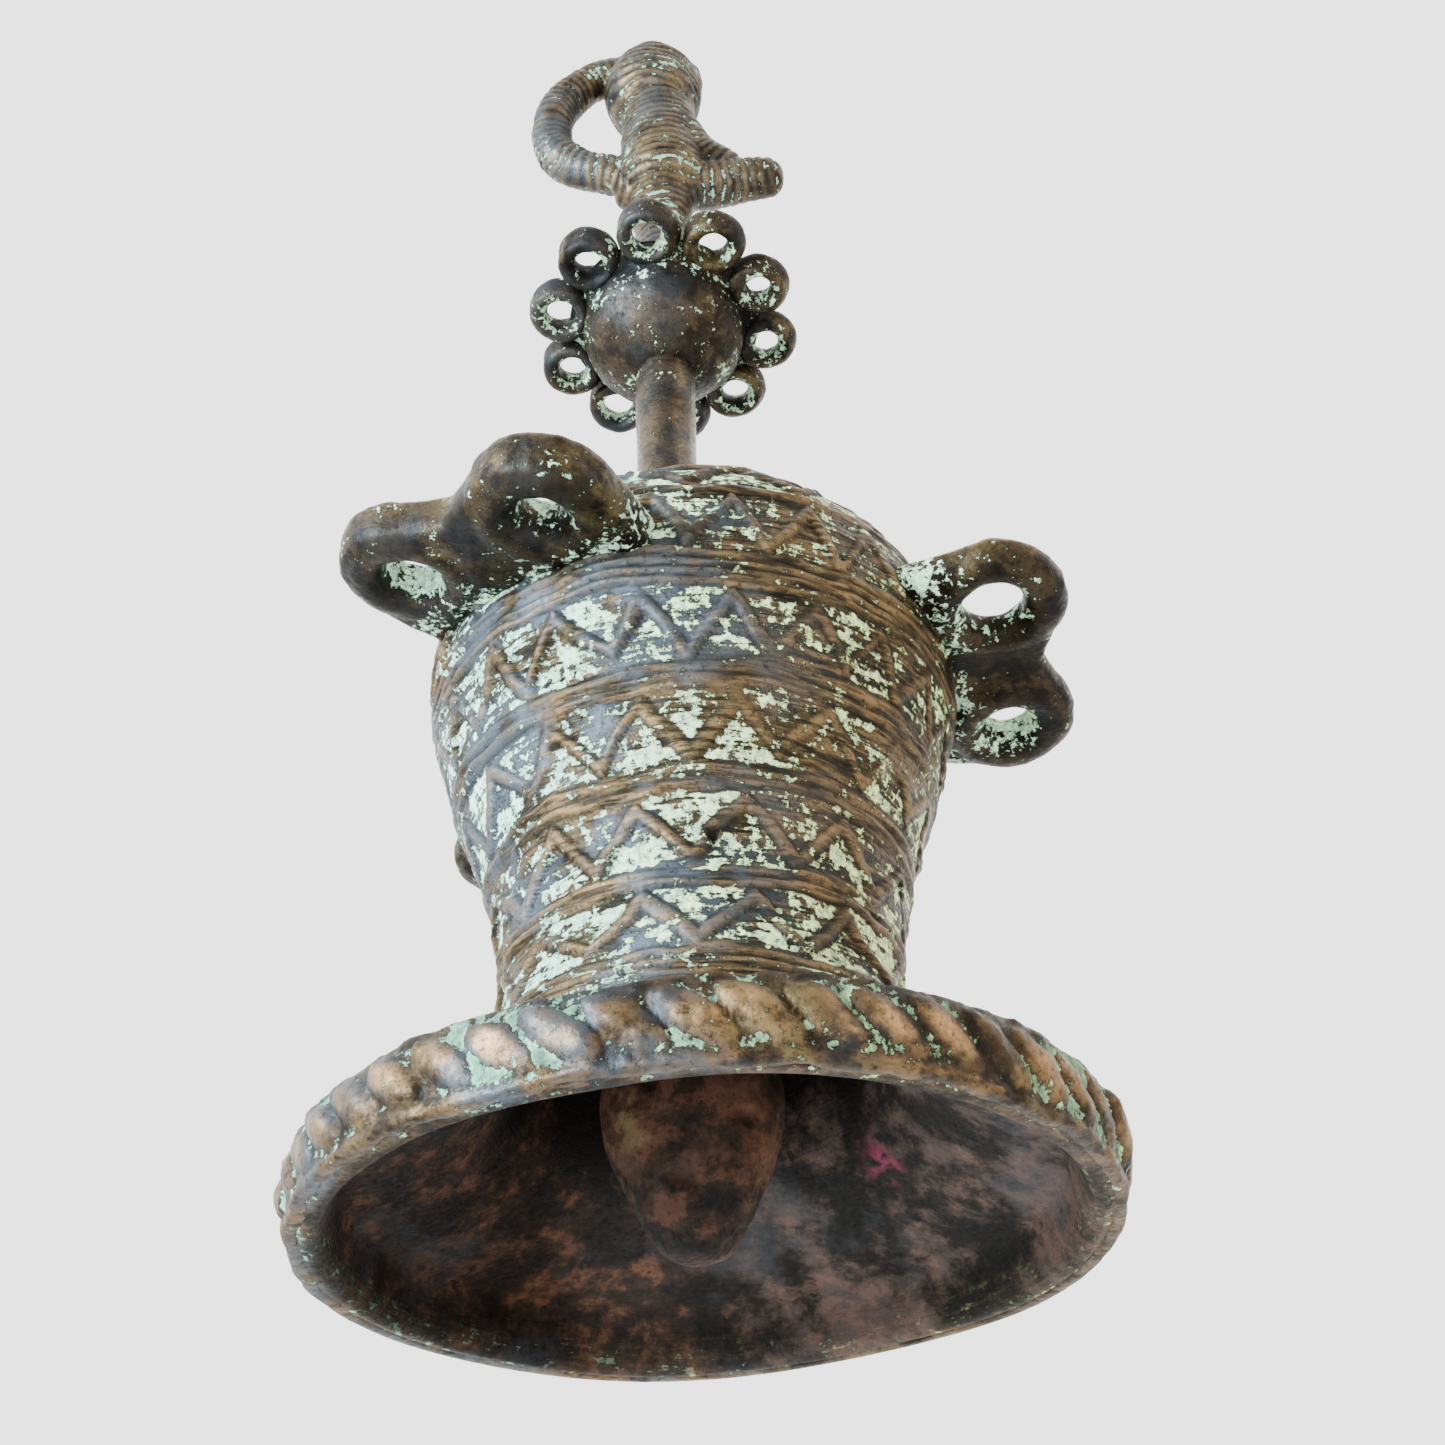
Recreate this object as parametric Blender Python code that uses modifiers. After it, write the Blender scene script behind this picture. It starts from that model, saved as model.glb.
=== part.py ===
"""Lost-wax bronze hand bell with a swinging clapper.

Everything is in metres, +Z up. The bell stands on its mouth at z = 0, its front faces -Y, and the
finished model is centred in x and y on its bounding box. Angles round the bell are measured from the
front, positive towards +X.
"""
import math

import bmesh
import bpy
from mathutils import Matrix, Vector

MM = 0.001

# ---- driving dimensions ---------------------------------------------------------------------
BELL_HEIGHT = 101.5 * MM        # mouth to crown
WALL = 3.0 * MM                 # casting thickness
LIP_OUTER = 43.2 * MM           # flat rim that the bell stands on
LIP_INNER = 40.2 * MM
GAP = 0.3 * MM                  # clearance between pieces that touch
ROUND_STEPS = 48                # facets round the bell

# Outer side of the body as (radius, height), crown to lip.
BODY_KEYS = [
    (0.0, 101.5), (18.5, 97.4), (29.8, 87.6), (33.7, 75.5), (30.3, 60.5),
    (24.9, 45.0), (22.3, 31.0), (24.5, 19.5), (33.0, 12.4), (43.2, 9.0),
]

ROPE_BEADS = 46
ROPE_THICK = 2.4 * MM           # radial
ROPE_HEIGHT = 7.6 * MM
ROPE_BOTTOM = 0.7 * MM

THREAD_RADIUS = 0.75 * MM
THREAD_CLEAR = 0.5 * MM         # zigzag wires stand a little further off the curved wall
# lower edge, upper edge, number of teeth and steps along each slant of each zigzag, crown to mouth
ZIGZAGS = [(84.5, 93.0, 15, 3), (59.0, 67.5, 17, 2), (48.5, 54.0, 12, 2), (36.0, 42.5, 10, 3)]
# lower and upper edge of each wound band of thread
THREAD_BANDS = [(69.5, 74.0), (55.0, 58.0), (43.5, 47.5), (20.5, 26.0)]

LUG_ANGLES = {"lug_left": -37.0, "lug_right": 85.0, "lug_back": -157.0}
LUG_HEIGHT = 80.0 * MM          # mid-plane of the lugs
LUG_THICK = 6.4 * MM
EYE_RADIUS = 3.5 * MM
EYE_CENTRE = 40.8 * MM          # radial distance of the eyes, along the lug's own axis
EYE_SPACING = 10.9 * MM         # half the distance between a lug's two eyes
LOBE_RADIUS = 9.2 * MM
NOTCH_RADIUS = 8.0 * MM         # hollow between the two lobes
LUG_ROOT = (24.0 * MM, 16.5 * MM)

HANDLE_X = -3.0 * MM            # the handle stands a little off the bell's axis
STEM_RADIUS = 4.5 * MM
ROSETTE_HEIGHT = 153.0 * MM
ROSETTE_TILT = math.radians(8.5)
CAP_RADIUS = 11.9 * MM
PETALS = 10
PETAL_CIRCLE = 16.7 * MM
PETAL_RADIUS = 3.45 * MM
PETAL_WIRE = 1.35 * MM
FIRST_PETAL = -6.0

HEAD_HEIGHT = 218.0 * MM
HEAD_RADIUS = 8.4 * MM

CLAPPER_X = -1.5 * MM
CLAPPER_Y = 4.5 * MM
STAPLE_BAR_HEIGHT = 85.5 * MM   # hinge line of the link
STAPLE_WIRE = 1.3 * MM
STAPLE_HALF_WIDTH = 4.5 * MM
STAPLE_TOP = 95.6 * MM
LINK_RADIUS = 5.2 * MM
LINK_WIRE = 1.1 * MM
EYELET_RADIUS = 4.2 * MM
EYELET_WIRE = 1.2 * MM

LINK_TOP = STAPLE_BAR_HEIGHT + STAPLE_WIRE + LINK_WIRE + GAP
LINK_CENTRE = LINK_TOP - LINK_RADIUS
CLAPPER_HINGE = LINK_CENTRE - LINK_RADIUS
EYELET_CENTRE = CLAPPER_HINGE + LINK_WIRE + EYELET_WIRE + GAP - EYELET_RADIUS

# Pestle of the clapper as (radius, height), top to bottom.
CLAPPER_KEYS = [
    (0.0, 73.2), (2.6, 72.4), (2.8, 60.0), (4.4, 47.0), (7.8, 33.5),
    (10.4, 21.5), (9.6, 14.0), (6.7, 7.5), (3.4, 2.2), (0.0, 1.2),
]


# ---- tools ----------------------------------------------------------------------------------
def start_clean():
    for old in list(bpy.data.objects):
        bpy.data.objects.remove(old, do_unlink=True)


def new_collection(name):
    group = bpy.data.collections.new(name)
    bpy.context.scene.collection.children.link(group)
    return group


def bronze(name, colour, roughness, metallic=0.85):
    material = bpy.data.materials.new(name)
    material.use_nodes = True
    shader = material.node_tree.nodes["Principled BSDF"]
    shader.inputs["Base Color"].default_value = (*colour, 1.0)
    shader.inputs["Roughness"].default_value = roughness
    shader.inputs["Metallic"].default_value = metallic
    material.diffuse_color = (*colour, 1.0)
    return material


def keep(obj, material, smooth_angle=50.0):
    """Put an object in the part's collection, with its material and smooth shading."""
    for group in list(obj.users_collection):
        group.objects.unlink(obj)
    PARTS.objects.link(obj)
    obj.data.materials.clear()
    obj.data.materials.append(material)
    obj.data.shade_smooth()
    obj.data.set_sharp_from_angle(angle=math.radians(smooth_angle))
    return obj


def as_cutter(obj):
    for group in list(obj.users_collection):
        group.objects.unlink(obj)
    CUTTERS.objects.link(obj)
    obj.hide_render = True
    obj.display_type = "WIRE"
    return obj


def in_metres(keys):
    return [(radius * MM, height * MM) for radius, height in keys]


def smooth_line(keys, per_span):
    """Catmull-Rom curve through the keys, with per_span points for each span."""
    points = []
    for i in range(len(keys) - 1):
        before = Vector(keys[max(i - 1, 0)])
        start = Vector(keys[i])
        end = Vector(keys[i + 1])
        after = Vector(keys[min(i + 2, len(keys) - 1)])
        for k in range(per_span):
            t = k / per_span
            points.append(0.5 * (2 * start + (end - before) * t
                                 + (2 * before - 5 * start + 4 * end - after) * t ** 2
                                 + (3 * start - before - 3 * end + after) * t ** 3))
    points.append(Vector(keys[-1]))
    return points


def offset_line(points, distance):
    """Move a profile sideways: positive goes towards the hollow side."""
    moved = []
    for i, point in enumerate(points):
        along = points[min(i + 1, len(points) - 1)] - points[max(i - 1, 0)]
        inward = Vector((along.y, -along.x)).normalized()
        moved.append(point + inward * distance)
    return moved


def turned(name, profile, steps, closed=False):
    """A profile of (radius, height) points turned about Z with a Screw modifier."""
    mesh = bpy.data.meshes.new(name)
    count = len(profile)
    edges = [(i, i + 1) for i in range(count - 1)]
    if closed:
        edges.append((count - 1, 0))
    mesh.from_pydata([(radius, 0.0, height) for radius, height in profile], edges, [])
    obj = bpy.data.objects.new(name, mesh)
    bpy.context.scene.collection.objects.link(obj)
    screw = obj.modifiers.new("turn", "SCREW")
    screw.axis = "Z"
    screw.steps = steps
    screw.render_steps = steps
    screw.use_merge_vertices = True
    screw.merge_threshold = 0.00001
    return obj


def solid_mesh(obj):
    """Replace a curve or a modified object by the plain closed mesh that it evaluates to."""
    bpy.context.view_layer.update()
    shape = bpy.data.meshes.new_from_object(obj.evaluated_get(bpy.context.evaluated_depsgraph_get()))
    welder = bmesh.new()
    welder.from_mesh(shape)
    bmesh.ops.remove_doubles(welder, verts=welder.verts, dist=0.00001)
    welder.to_mesh(shape)
    welder.free()
    name = obj.name
    place = obj.matrix_world.copy()
    bpy.data.objects.remove(obj, do_unlink=True)
    result = bpy.data.objects.new(name, shape)
    shape.name = name
    result.matrix_world = place
    bpy.context.scene.collection.objects.link(result)
    return result


def boolean(obj, other, operation):
    """Cut or join with another mesh object and keep the result as a plain mesh."""
    as_cutter(other)
    modifier = obj.modifiers.new(operation.lower(), "BOOLEAN")
    modifier.operation = operation
    modifier.solver = "EXACT"
    modifier.object = other
    return solid_mesh(obj)


def tube(name, points, radii, sides, closed=False):
    """A round bar through the points; radii is one radius or one for each point."""
    curve = bpy.data.curves.new(name, "CURVE")
    curve.dimensions = "3D"
    curve.bevel_depth = 1.0 if isinstance(radii, (list, tuple)) else radii
    curve.bevel_resolution = sides // 2 - 2
    curve.use_fill_caps = not closed
    spline = curve.splines.new("POLY")
    spline.points.add(len(points) - 1)
    spline.use_cyclic_u = closed
    for i, point in enumerate(points):
        spline.points[i].co = (*point, 1.0)
        if isinstance(radii, (list, tuple)):
            spline.points[i].radius = radii[i]
    obj = bpy.data.objects.new(name, curve)
    bpy.context.scene.collection.objects.link(obj)
    return solid_mesh(obj)


def ring(name, radius, wire, around, section):
    """A torus about Z at the origin."""
    bpy.ops.mesh.primitive_torus_add(major_segments=around, minor_segments=section,
                                     major_radius=radius, minor_radius=wire)
    obj = bpy.context.object
    obj.name = name
    obj.data.name = name
    return obj


def round_the_bell(degrees, radius, height):
    angle = math.radians(degrees)
    return Vector((radius * math.sin(angle), -radius * math.cos(angle), height))


# ---- body -----------------------------------------------------------------------------------
def body_line():
    return smooth_line(in_metres(BODY_KEYS), 2)


def off_the_wall(height, lift):
    """The (radius, height) reached by stepping straight off the body's outer wall by lift."""
    line = body_line()
    for upper, lower in zip(line, line[1:]):
        if lower.y <= height <= upper.y:
            share = (upper.y - height) / (upper.y - lower.y)
            slope = (lower - upper).normalized()
            return upper.lerp(lower, share) + Vector((-slope.y, slope.x)) * lift
    raise ValueError("no wall at that height")


def make_body():
    outer = body_line()
    inner = [point for point in offset_line(outer, WALL)[::2] if point.x < LIP_INNER - 2 * MM]
    inner[0] = Vector((0.0, BELL_HEIGHT - WALL))
    profile = [tuple(point) for point in outer]
    profile.append((LIP_OUTER, 0.0))
    profile.append((LIP_INNER, 0.0))
    profile.append((LIP_INNER - 0.6 * MM, 3.0 * MM))
    profile.extend(tuple(point) for point in reversed(inner))
    body = turned("bell_body", profile, ROUND_STEPS)
    return keep(body, bronze("body_bronze", (0.16, 0.115, 0.075), 0.45))


def make_rim_rope():
    """Twisted rope laid round the outside of the lip: slanted beads on an oval ring."""
    centre = LIP_OUTER + GAP + ROPE_THICK / 2
    rope = ring("rim_rope", centre, ROPE_THICK / 2, ROPE_BEADS * 2, 6)
    middle = ROPE_BOTTOM + ROPE_HEIGHT / 2
    for vertex in rope.data.vertices:
        x, y, z = vertex.co
        distance = math.hypot(x, y)
        up = z / (ROPE_THICK / 2)
        turn = math.atan2(x, -y)
        swell = 0.5 + 0.5 * math.cos(ROPE_BEADS * turn + 1.6 * up)
        reach = distance - centre
        if reach > 0:
            reach *= 0.75 + 0.5 * swell
        new_distance = centre + reach
        vertex.co = (x / distance * new_distance, y / distance * new_distance,
                     middle + up * ROPE_HEIGHT / 2)
    return keep(rope, bronze("rope_bronze", (0.19, 0.15, 0.10), 0.5))


def make_zigzag(number, low, high, teeth, steps):
    points = []
    for k in range(2 * teeth * steps):
        climb = abs(k / steps % 2 - 1)
        spot = off_the_wall((low + (high - low) * climb) * MM, THREAD_CLEAR + THREAD_RADIUS)
        points.append(round_the_bell(180.0 * k / steps / teeth, spot.x, spot.y))
    wire = tube(f"zigzag_wire_{number}", points, THREAD_RADIUS, 4, closed=True)
    return keep(wire, bronze(f"zigzag_bronze_{number}", (0.26, 0.17, 0.10), 0.42))


def make_thread_band(number, low, high):
    heights = [high * MM, (low + high) / 2 * MM, low * MM]
    crown = GAP + 2 * THREAD_RADIUS
    lifts = [crown - THREAD_RADIUS / 2, crown, crown - THREAD_RADIUS / 2]
    outside = [off_the_wall(height, lift) for height, lift in zip(heights, lifts)]
    inside = [off_the_wall(height, GAP + 0.1 * MM) for height in (heights[2], heights[0])]
    profile = [tuple(point) for point in outside + inside]
    band = turned(f"thread_band_{number}", profile, ROUND_STEPS, closed=True)
    return keep(band, bronze(f"thread_bronze_{number}", (0.22, 0.15, 0.09), 0.42))


# ---- lugs -----------------------------------------------------------------------------------
def lug_outline():
    """Outline of a lug in its own plane: x runs out from the bell, y along the wall."""
    hollow_x = EYE_CENTRE + math.sqrt((LOBE_RADIUS + NOTCH_RADIUS) ** 2 - EYE_SPACING ** 2)
    tangent = math.atan2(-EYE_SPACING, hollow_x - EYE_CENTRE)
    half = [(LUG_ROOT[0], LUG_ROOT[1])]
    arc_steps = 7
    for k in range(arc_steps + 1):
        angle = math.pi / 2 + (tangent - math.pi / 2) * k / arc_steps
        half.append((EYE_CENTRE + LOBE_RADIUS * math.cos(angle),
                     EYE_SPACING + LOBE_RADIUS * math.sin(angle)))
    half.append((hollow_x - NOTCH_RADIUS, 0.0))
    return half + [(x, -y) for x, y in reversed(half[:-1])]


def make_lug(name, degrees, wall_cutter):
    flat = bpy.data.curves.new(name, "CURVE")
    flat.dimensions = "2D"
    flat.fill_mode = "BOTH"
    rounding = 1.6 * MM
    flat.extrude = LUG_THICK / 2 - rounding
    flat.bevel_depth = rounding
    flat.bevel_resolution = 1
    flat.offset = -rounding
    eyes = []
    for side in (1, -1):
        eyes.append([(EYE_CENTRE + EYE_RADIUS * math.cos(k * math.pi / 5),
                      side * EYE_SPACING + EYE_RADIUS * math.sin(k * math.pi / 5)) for k in range(10)])
    for loop in [lug_outline()] + eyes:
        spline = flat.splines.new("POLY")
        spline.points.add(len(loop) - 1)
        spline.use_cyclic_u = True
        for i, (x, y) in enumerate(loop):
            spline.points[i].co = (x, y, 0.0, 1.0)
    lug = bpy.data.objects.new(name, flat)
    bpy.context.scene.collection.objects.link(lug)
    lug.location = (0.0, 0.0, LUG_HEIGHT)
    lug.rotation_euler = (0.0, 0.0, math.radians(degrees - 90.0))
    lug = boolean(solid_mesh(lug), wall_cutter, "DIFFERENCE")
    return keep(lug, bronze(f"{name}_bronze", (0.17, 0.12, 0.08), 0.4))


def make_lugs():
    grown = [point for point in offset_line(body_line(), -GAP) if point.y > 30 * MM]
    profile = [(0.0, grown[0].y)] + [tuple(point) for point in grown[1:]] + [(0.0, grown[-1].y)]
    wall_cutter = solid_mesh(turned("wall_clearance", profile, ROUND_STEPS))
    for name, degrees in LUG_ANGLES.items():
        make_lug(name, degrees, wall_cutter)


# ---- handle ---------------------------------------------------------------------------------
def place(obj, location, tilt=0.0):
    obj.location = location
    obj.rotation_euler = (tilt, 0.0, 0.0)
    return obj


def make_stem():
    top = ROSETTE_HEIGHT - CAP_RADIUS - 0.8 * MM
    foot = BELL_HEIGHT + GAP
    profile = [
        (0.0, top), (STEM_RADIUS, top), (STEM_RADIUS, foot + 6 * MM),
        (STEM_RADIUS + 0.8 * MM, foot + 2 * MM), (STEM_RADIUS + 2 * MM, foot), (0.0, foot),
    ]
    stem = place(turned("handle_stem", profile, 20), (HANDLE_X, 0.0, 0.0))
    return keep(stem, bronze("stem_bronze", (0.2, 0.16, 0.12), 0.35))


def make_cap():
    """Mushroom cap under the rosette: a half ball, with a low crown above the petals."""
    rows = 6
    under = [(CAP_RADIUS * math.cos(a), -CAP_RADIUS * math.sin(a))
             for a in (math.pi / 2 * k / rows for k in range(rows + 1))]
    under[-1] = (0.0, -CAP_RADIUS)
    profile = [(0.0, 4 * MM), (8 * MM, 3 * MM)] + under
    cap = place(turned("mushroom_cap", profile, 24), (HANDLE_X, 0.0, ROSETTE_HEIGHT), -ROSETTE_TILT)
    return keep(cap, bronze("cap_bronze", (0.13, 0.095, 0.07), 0.4))


def make_petals():
    tilt = Matrix.Rotation(-ROSETTE_TILT, 4, "X")
    centre = Vector((HANDLE_X, 0.0, ROSETTE_HEIGHT))
    wire = bronze("petal_bronze", (0.11, 0.085, 0.065), 0.45)
    for k in range(PETALS):
        petal = ring(f"rosette_ring_{k + 1:02d}", PETAL_RADIUS, PETAL_WIRE, 14, 6)
        for vertex in petal.data.vertices:
            vertex.co.z *= 1.5
        spot = tilt @ round_the_bell(FIRST_PETAL + 360.0 * k / PETALS, PETAL_CIRCLE, 0.0)
        place(petal, centre + spot, -ROSETTE_TILT)
        keep(petal, wire)


def make_finial():
    dark = (0.15, 0.12, 0.09)
    neck_top = 184.0 * MM
    neck_foot = ROSETTE_HEIGHT + 5.2 * MM
    neck = [(0.0, neck_top), (5.2 * MM, neck_top), (4.4 * MM, neck_top - 8 * MM),
            (4.4 * MM, neck_foot + 8 * MM), (6.4 * MM, neck_foot), (0.0, neck_foot)]
    keep(place(turned("finial_neck", neck, 16), (HANDLE_X, 0.0, 0.0)), bronze("neck_bronze", dark, 0.45))

    foot_line = [(-10.2, 188.8), (-9.2, 188.6), (-3.0, 188.4), (4.0, 189.0), (10.0, 189.9),
                 (15.0, 190.4), (17.8, 190.3), (18.7, 190.2)]
    foot_radii = [2.2, 3.6, 4.1, 4.0, 3.6, 3.3, 2.4, 1.0]
    foot = tube("finial_foot", [(x * MM, 0.0, z * MM) for x, z in foot_line],
                [radius * MM for radius in foot_radii], 10)
    keep(foot, bronze("foot_bronze", (0.19, 0.14, 0.10), 0.42))

    column_foot = 193.3 * MM
    column_top = HEAD_HEIGHT - 7.2 * MM
    keep(turned_column("finial_column", column_foot, column_top, 0.0), bronze("column_bronze", dark, 0.45))

    seat = turned_column("head_seat", column_foot, column_top, GAP)
    head = boolean(ball("finial_head", HEAD_RADIUS), solid_mesh(seat), "DIFFERENCE")
    keep(head, bronze("head_bronze", (0.18, 0.13, 0.09), 0.42))

    loop_keys = [(-8.6, 223.9), (-13.0, 222.8), (-17.6, 218.8), (-21.2, 212.6), (-22.4, 205.5),
                 (-20.9, 199.2), (-16.6, 194.9), (-11.6, 193.2), (-7.0, 192.9)]
    loop_radii = [3.0, 3.2, 3.4, 3.5, 3.5, 3.5, 3.4, 3.2, 3.0]
    loop = tube("finial_loop", [(x * MM, 0.0, z * MM) for x, z in loop_keys],
                [radius * MM for radius in loop_radii], 8)
    loop = boolean(loop, ball("loop_head_clearance", HEAD_RADIUS + GAP), "DIFFERENCE")
    loop = boolean(loop, solid_mesh(turned_column("loop_column_clearance", column_foot - 8 * MM,
                                                  column_top, GAP)), "DIFFERENCE")
    keep(loop, bronze("loop_bronze", (0.17, 0.14, 0.10), 0.42))


def ball(name, radius):
    bpy.ops.mesh.primitive_uv_sphere_add(segments=20, ring_count=10, radius=radius,
                                         location=(HANDLE_X - 1.0 * MM, 0.0, HEAD_HEIGHT))
    obj = bpy.context.object
    obj.name = name
    return obj


def turned_column(name, foot, top, grow):
    """Body of the finial figure, or the clearance round it when grown."""
    profile = [(0.0, top + grow), (4.6 * MM + grow, top + grow), (6.6 * MM + grow, top - 3 * MM),
               (7.0 * MM + grow, top - 10 * MM), (7.4 * MM + grow, foot), (0.0, foot)]
    return place(turned(name, profile, 16), (HANDLE_X, 0.0, 0.0))


# ---- clapper --------------------------------------------------------------------------------
def make_staple():
    """U-shaped eye cast into the crown, with its round of bar at the bottom."""
    arc_height = STAPLE_BAR_HEIGHT + STAPLE_HALF_WIDTH
    points = [(-STAPLE_HALF_WIDTH, 0.0, STAPLE_TOP)]
    for k in range(9):
        angle = math.pi + math.pi * k / 8
        points.append((STAPLE_HALF_WIDTH * math.cos(angle), 0.0,
                       arc_height + STAPLE_HALF_WIDTH * math.sin(angle)))
    points.append((STAPLE_HALF_WIDTH, 0.0, STAPLE_TOP))
    staple = place(tube("crown_staple", points, STAPLE_WIRE, 8), (CLAPPER_X, CLAPPER_Y, 0.0))
    return keep(staple, bronze("staple_bronze", (0.12, 0.08, 0.05), 0.5))


def hinge_empty(name, location):
    empty = bpy.data.objects.new(name, None)
    empty.location = location
    PARTS.objects.link(empty)
    return empty


def hang(obj, empty, turn, offset):
    """Parent a piece to its hinge, turned to its own plane and offset along Z."""
    obj.parent = empty
    obj.rotation_euler = turn
    obj.location = (0.0, 0.0, offset)


def make_link(link_hinge):
    link = ring("clapper_link", LINK_RADIUS, LINK_WIRE, 20, 8)
    hang(link, link_hinge, (0.0, math.pi / 2, 0.0), LINK_CENTRE - STAPLE_BAR_HEIGHT)
    return keep(link, bronze("link_iron", (0.10, 0.07, 0.05), 0.55, 0.7))


def make_clapper(clapper_hinge):
    profile = [tuple(point) for point in smooth_line(in_metres(CLAPPER_KEYS), 2)]
    profile[0] = (0.0, profile[0][1])
    pestle = solid_mesh(turned("clapper", profile, 20))
    eyelet = ring("eyelet", EYELET_RADIUS, EYELET_WIRE, 20, 8)
    eyelet.rotation_euler = (math.pi / 2, 0.0, 0.0)
    eyelet.location = (0.0, 0.0, EYELET_CENTRE)
    clapper = boolean(pestle, solid_mesh(eyelet), "UNION")
    hang(clapper, clapper_hinge, (0.0, 0.0, 0.0), -CLAPPER_HINGE)
    return keep(clapper, bronze("clapper_iron", (0.15, 0.09, 0.06), 0.6, 0.6))


# ---- assembly -------------------------------------------------------------------------------
def centre_on_box():
    """Shift the whole part in x and y so that its bounding box is centred on the origin."""
    bpy.context.view_layer.update()
    graph = bpy.context.evaluated_depsgraph_get()
    low = Vector((1.0, 1.0, 1.0))
    high = -low
    for obj in PARTS.objects:
        if obj.type != "MESH":
            continue
        shown = obj.evaluated_get(graph)
        for vertex in shown.data.vertices:
            spot = shown.matrix_world @ vertex.co
            low = Vector(map(min, low, spot))
            high = Vector(map(max, high, spot))
    middle = (low + high) / 2
    for obj in PARTS.objects:
        if obj.parent is None:
            obj.location.x -= middle.x
            obj.location.y -= middle.y
    bpy.context.view_layer.update()


start_clean()
PARTS = new_collection("hand_bell")
CUTTERS = new_collection("cutters")

make_body()
make_rim_rope()
for index, zigzag in enumerate(ZIGZAGS):
    make_zigzag(index + 1, *zigzag)
for index, band in enumerate(THREAD_BANDS):
    make_thread_band(index + 1, *band)
make_lugs()
make_stem()
make_cap()
make_petals()
make_finial()
make_staple()
make_link(hinge_empty("link_hinge", (CLAPPER_X, CLAPPER_Y, STAPLE_BAR_HEIGHT)))
make_clapper(hinge_empty("clapper_hinge", (CLAPPER_X, CLAPPER_Y, CLAPPER_HINGE)))
centre_on_box()
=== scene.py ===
"""Looks of the bronze hand bell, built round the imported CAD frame.

The bell's axis, the lugs' plates and the place of the link are read from the frame; the other sizes are
the CAD's, adjusted to the photo. Lengths are in metres, and MM turns millimetres into them. Angles
round the bell start at the front (-Y) and grow towards +X.
"""
import math

import bmesh
import bpy
import numpy as np
from mathutils import Matrix, Vector


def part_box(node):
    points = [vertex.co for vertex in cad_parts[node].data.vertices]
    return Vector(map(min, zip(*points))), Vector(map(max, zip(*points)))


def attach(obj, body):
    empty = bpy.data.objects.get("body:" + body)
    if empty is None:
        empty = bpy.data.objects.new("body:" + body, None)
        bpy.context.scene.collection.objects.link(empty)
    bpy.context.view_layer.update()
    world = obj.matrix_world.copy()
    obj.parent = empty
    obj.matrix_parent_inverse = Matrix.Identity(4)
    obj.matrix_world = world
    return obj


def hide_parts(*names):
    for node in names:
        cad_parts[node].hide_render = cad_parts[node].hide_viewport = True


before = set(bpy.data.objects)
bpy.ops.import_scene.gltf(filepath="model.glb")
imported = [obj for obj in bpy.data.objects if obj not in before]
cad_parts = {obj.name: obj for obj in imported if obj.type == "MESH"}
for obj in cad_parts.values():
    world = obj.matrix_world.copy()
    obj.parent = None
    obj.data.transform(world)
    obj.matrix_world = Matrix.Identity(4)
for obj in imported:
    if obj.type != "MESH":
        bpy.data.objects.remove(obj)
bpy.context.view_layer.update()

MM = 0.001
BELL = "bell"

body_low, body_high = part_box("bell_body")
AXIS = Vector(((body_low.x + body_high.x) / 2, (body_low.y + body_high.y) / 2, 0.0))

# Outer side of the body as (radius, height) in mm, crown to lip: the CAD's, a touch fuller.
BODY_KEYS = [
    (0.0, 101.9), (19.0, 98.2), (30.5, 88.2), (34.0, 75.5), (30.7, 60.5),
    (25.6, 45.0), (23.3, 31.0), (25.4, 19.5), (33.4, 12.4), (43.2, 9.0),
]
WALL = 3.4 * MM
LIP_OUTER = 43.2 * MM
LIP_INNER = 40.9 * MM
BODY_ROWS = 330
BODY_COLS = 472
LIP_ROWS = 24
LINING_ROWS = 64

# Relief of wax threads, crown to mouth: kind, lower and upper edge in mm, number of threads or teeth.
RELIEF = [
    ("threads", 92.8, 98.5, 4), ("zigzag", 84.8, 92.4, 15), ("threads", 82.8, 84.6, 1),
    ("zigzag", 73.4, 82.4, 22), ("threads", 68.0, 72.8, 4), ("zigzag", 59.6, 67.6, 20),
    ("threads", 55.6, 59.0, 2), ("zigzag", 47.4, 55.0, 16), ("threads", 43.8, 46.8, 2),
    ("zigzag", 35.6, 43.2, 13), ("threads", 32.4, 35.2, 2), ("zigzag", 25.0, 32.0, 12),
    ("threads", 14.4, 24.6, 8), ("threads", 10.6, 13.6, 3),
]
THREAD_HEIGHT = 0.75 * MM
THREAD_HALF = 0.85 * MM

# The pinhole in the front: angle round the bell, height, radius and depth.
PINHOLE_TURN = math.radians(5.0)
PINHOLE_HEIGHT = 38.5 * MM
PINHOLE_RADIUS = 0.50 * MM
PINHOLE_DEPTH = 0.9 * MM

# The magenta stain on the inner wall: angle round the bell, distance from its axis, height and radius.
STAIN_TURN = math.radians(125.0)
STAIN_REACH = 26.0 * MM
STAIN_HEIGHT = 16.5 * MM
STAIN_RADIUS = 2.4 * MM


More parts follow.
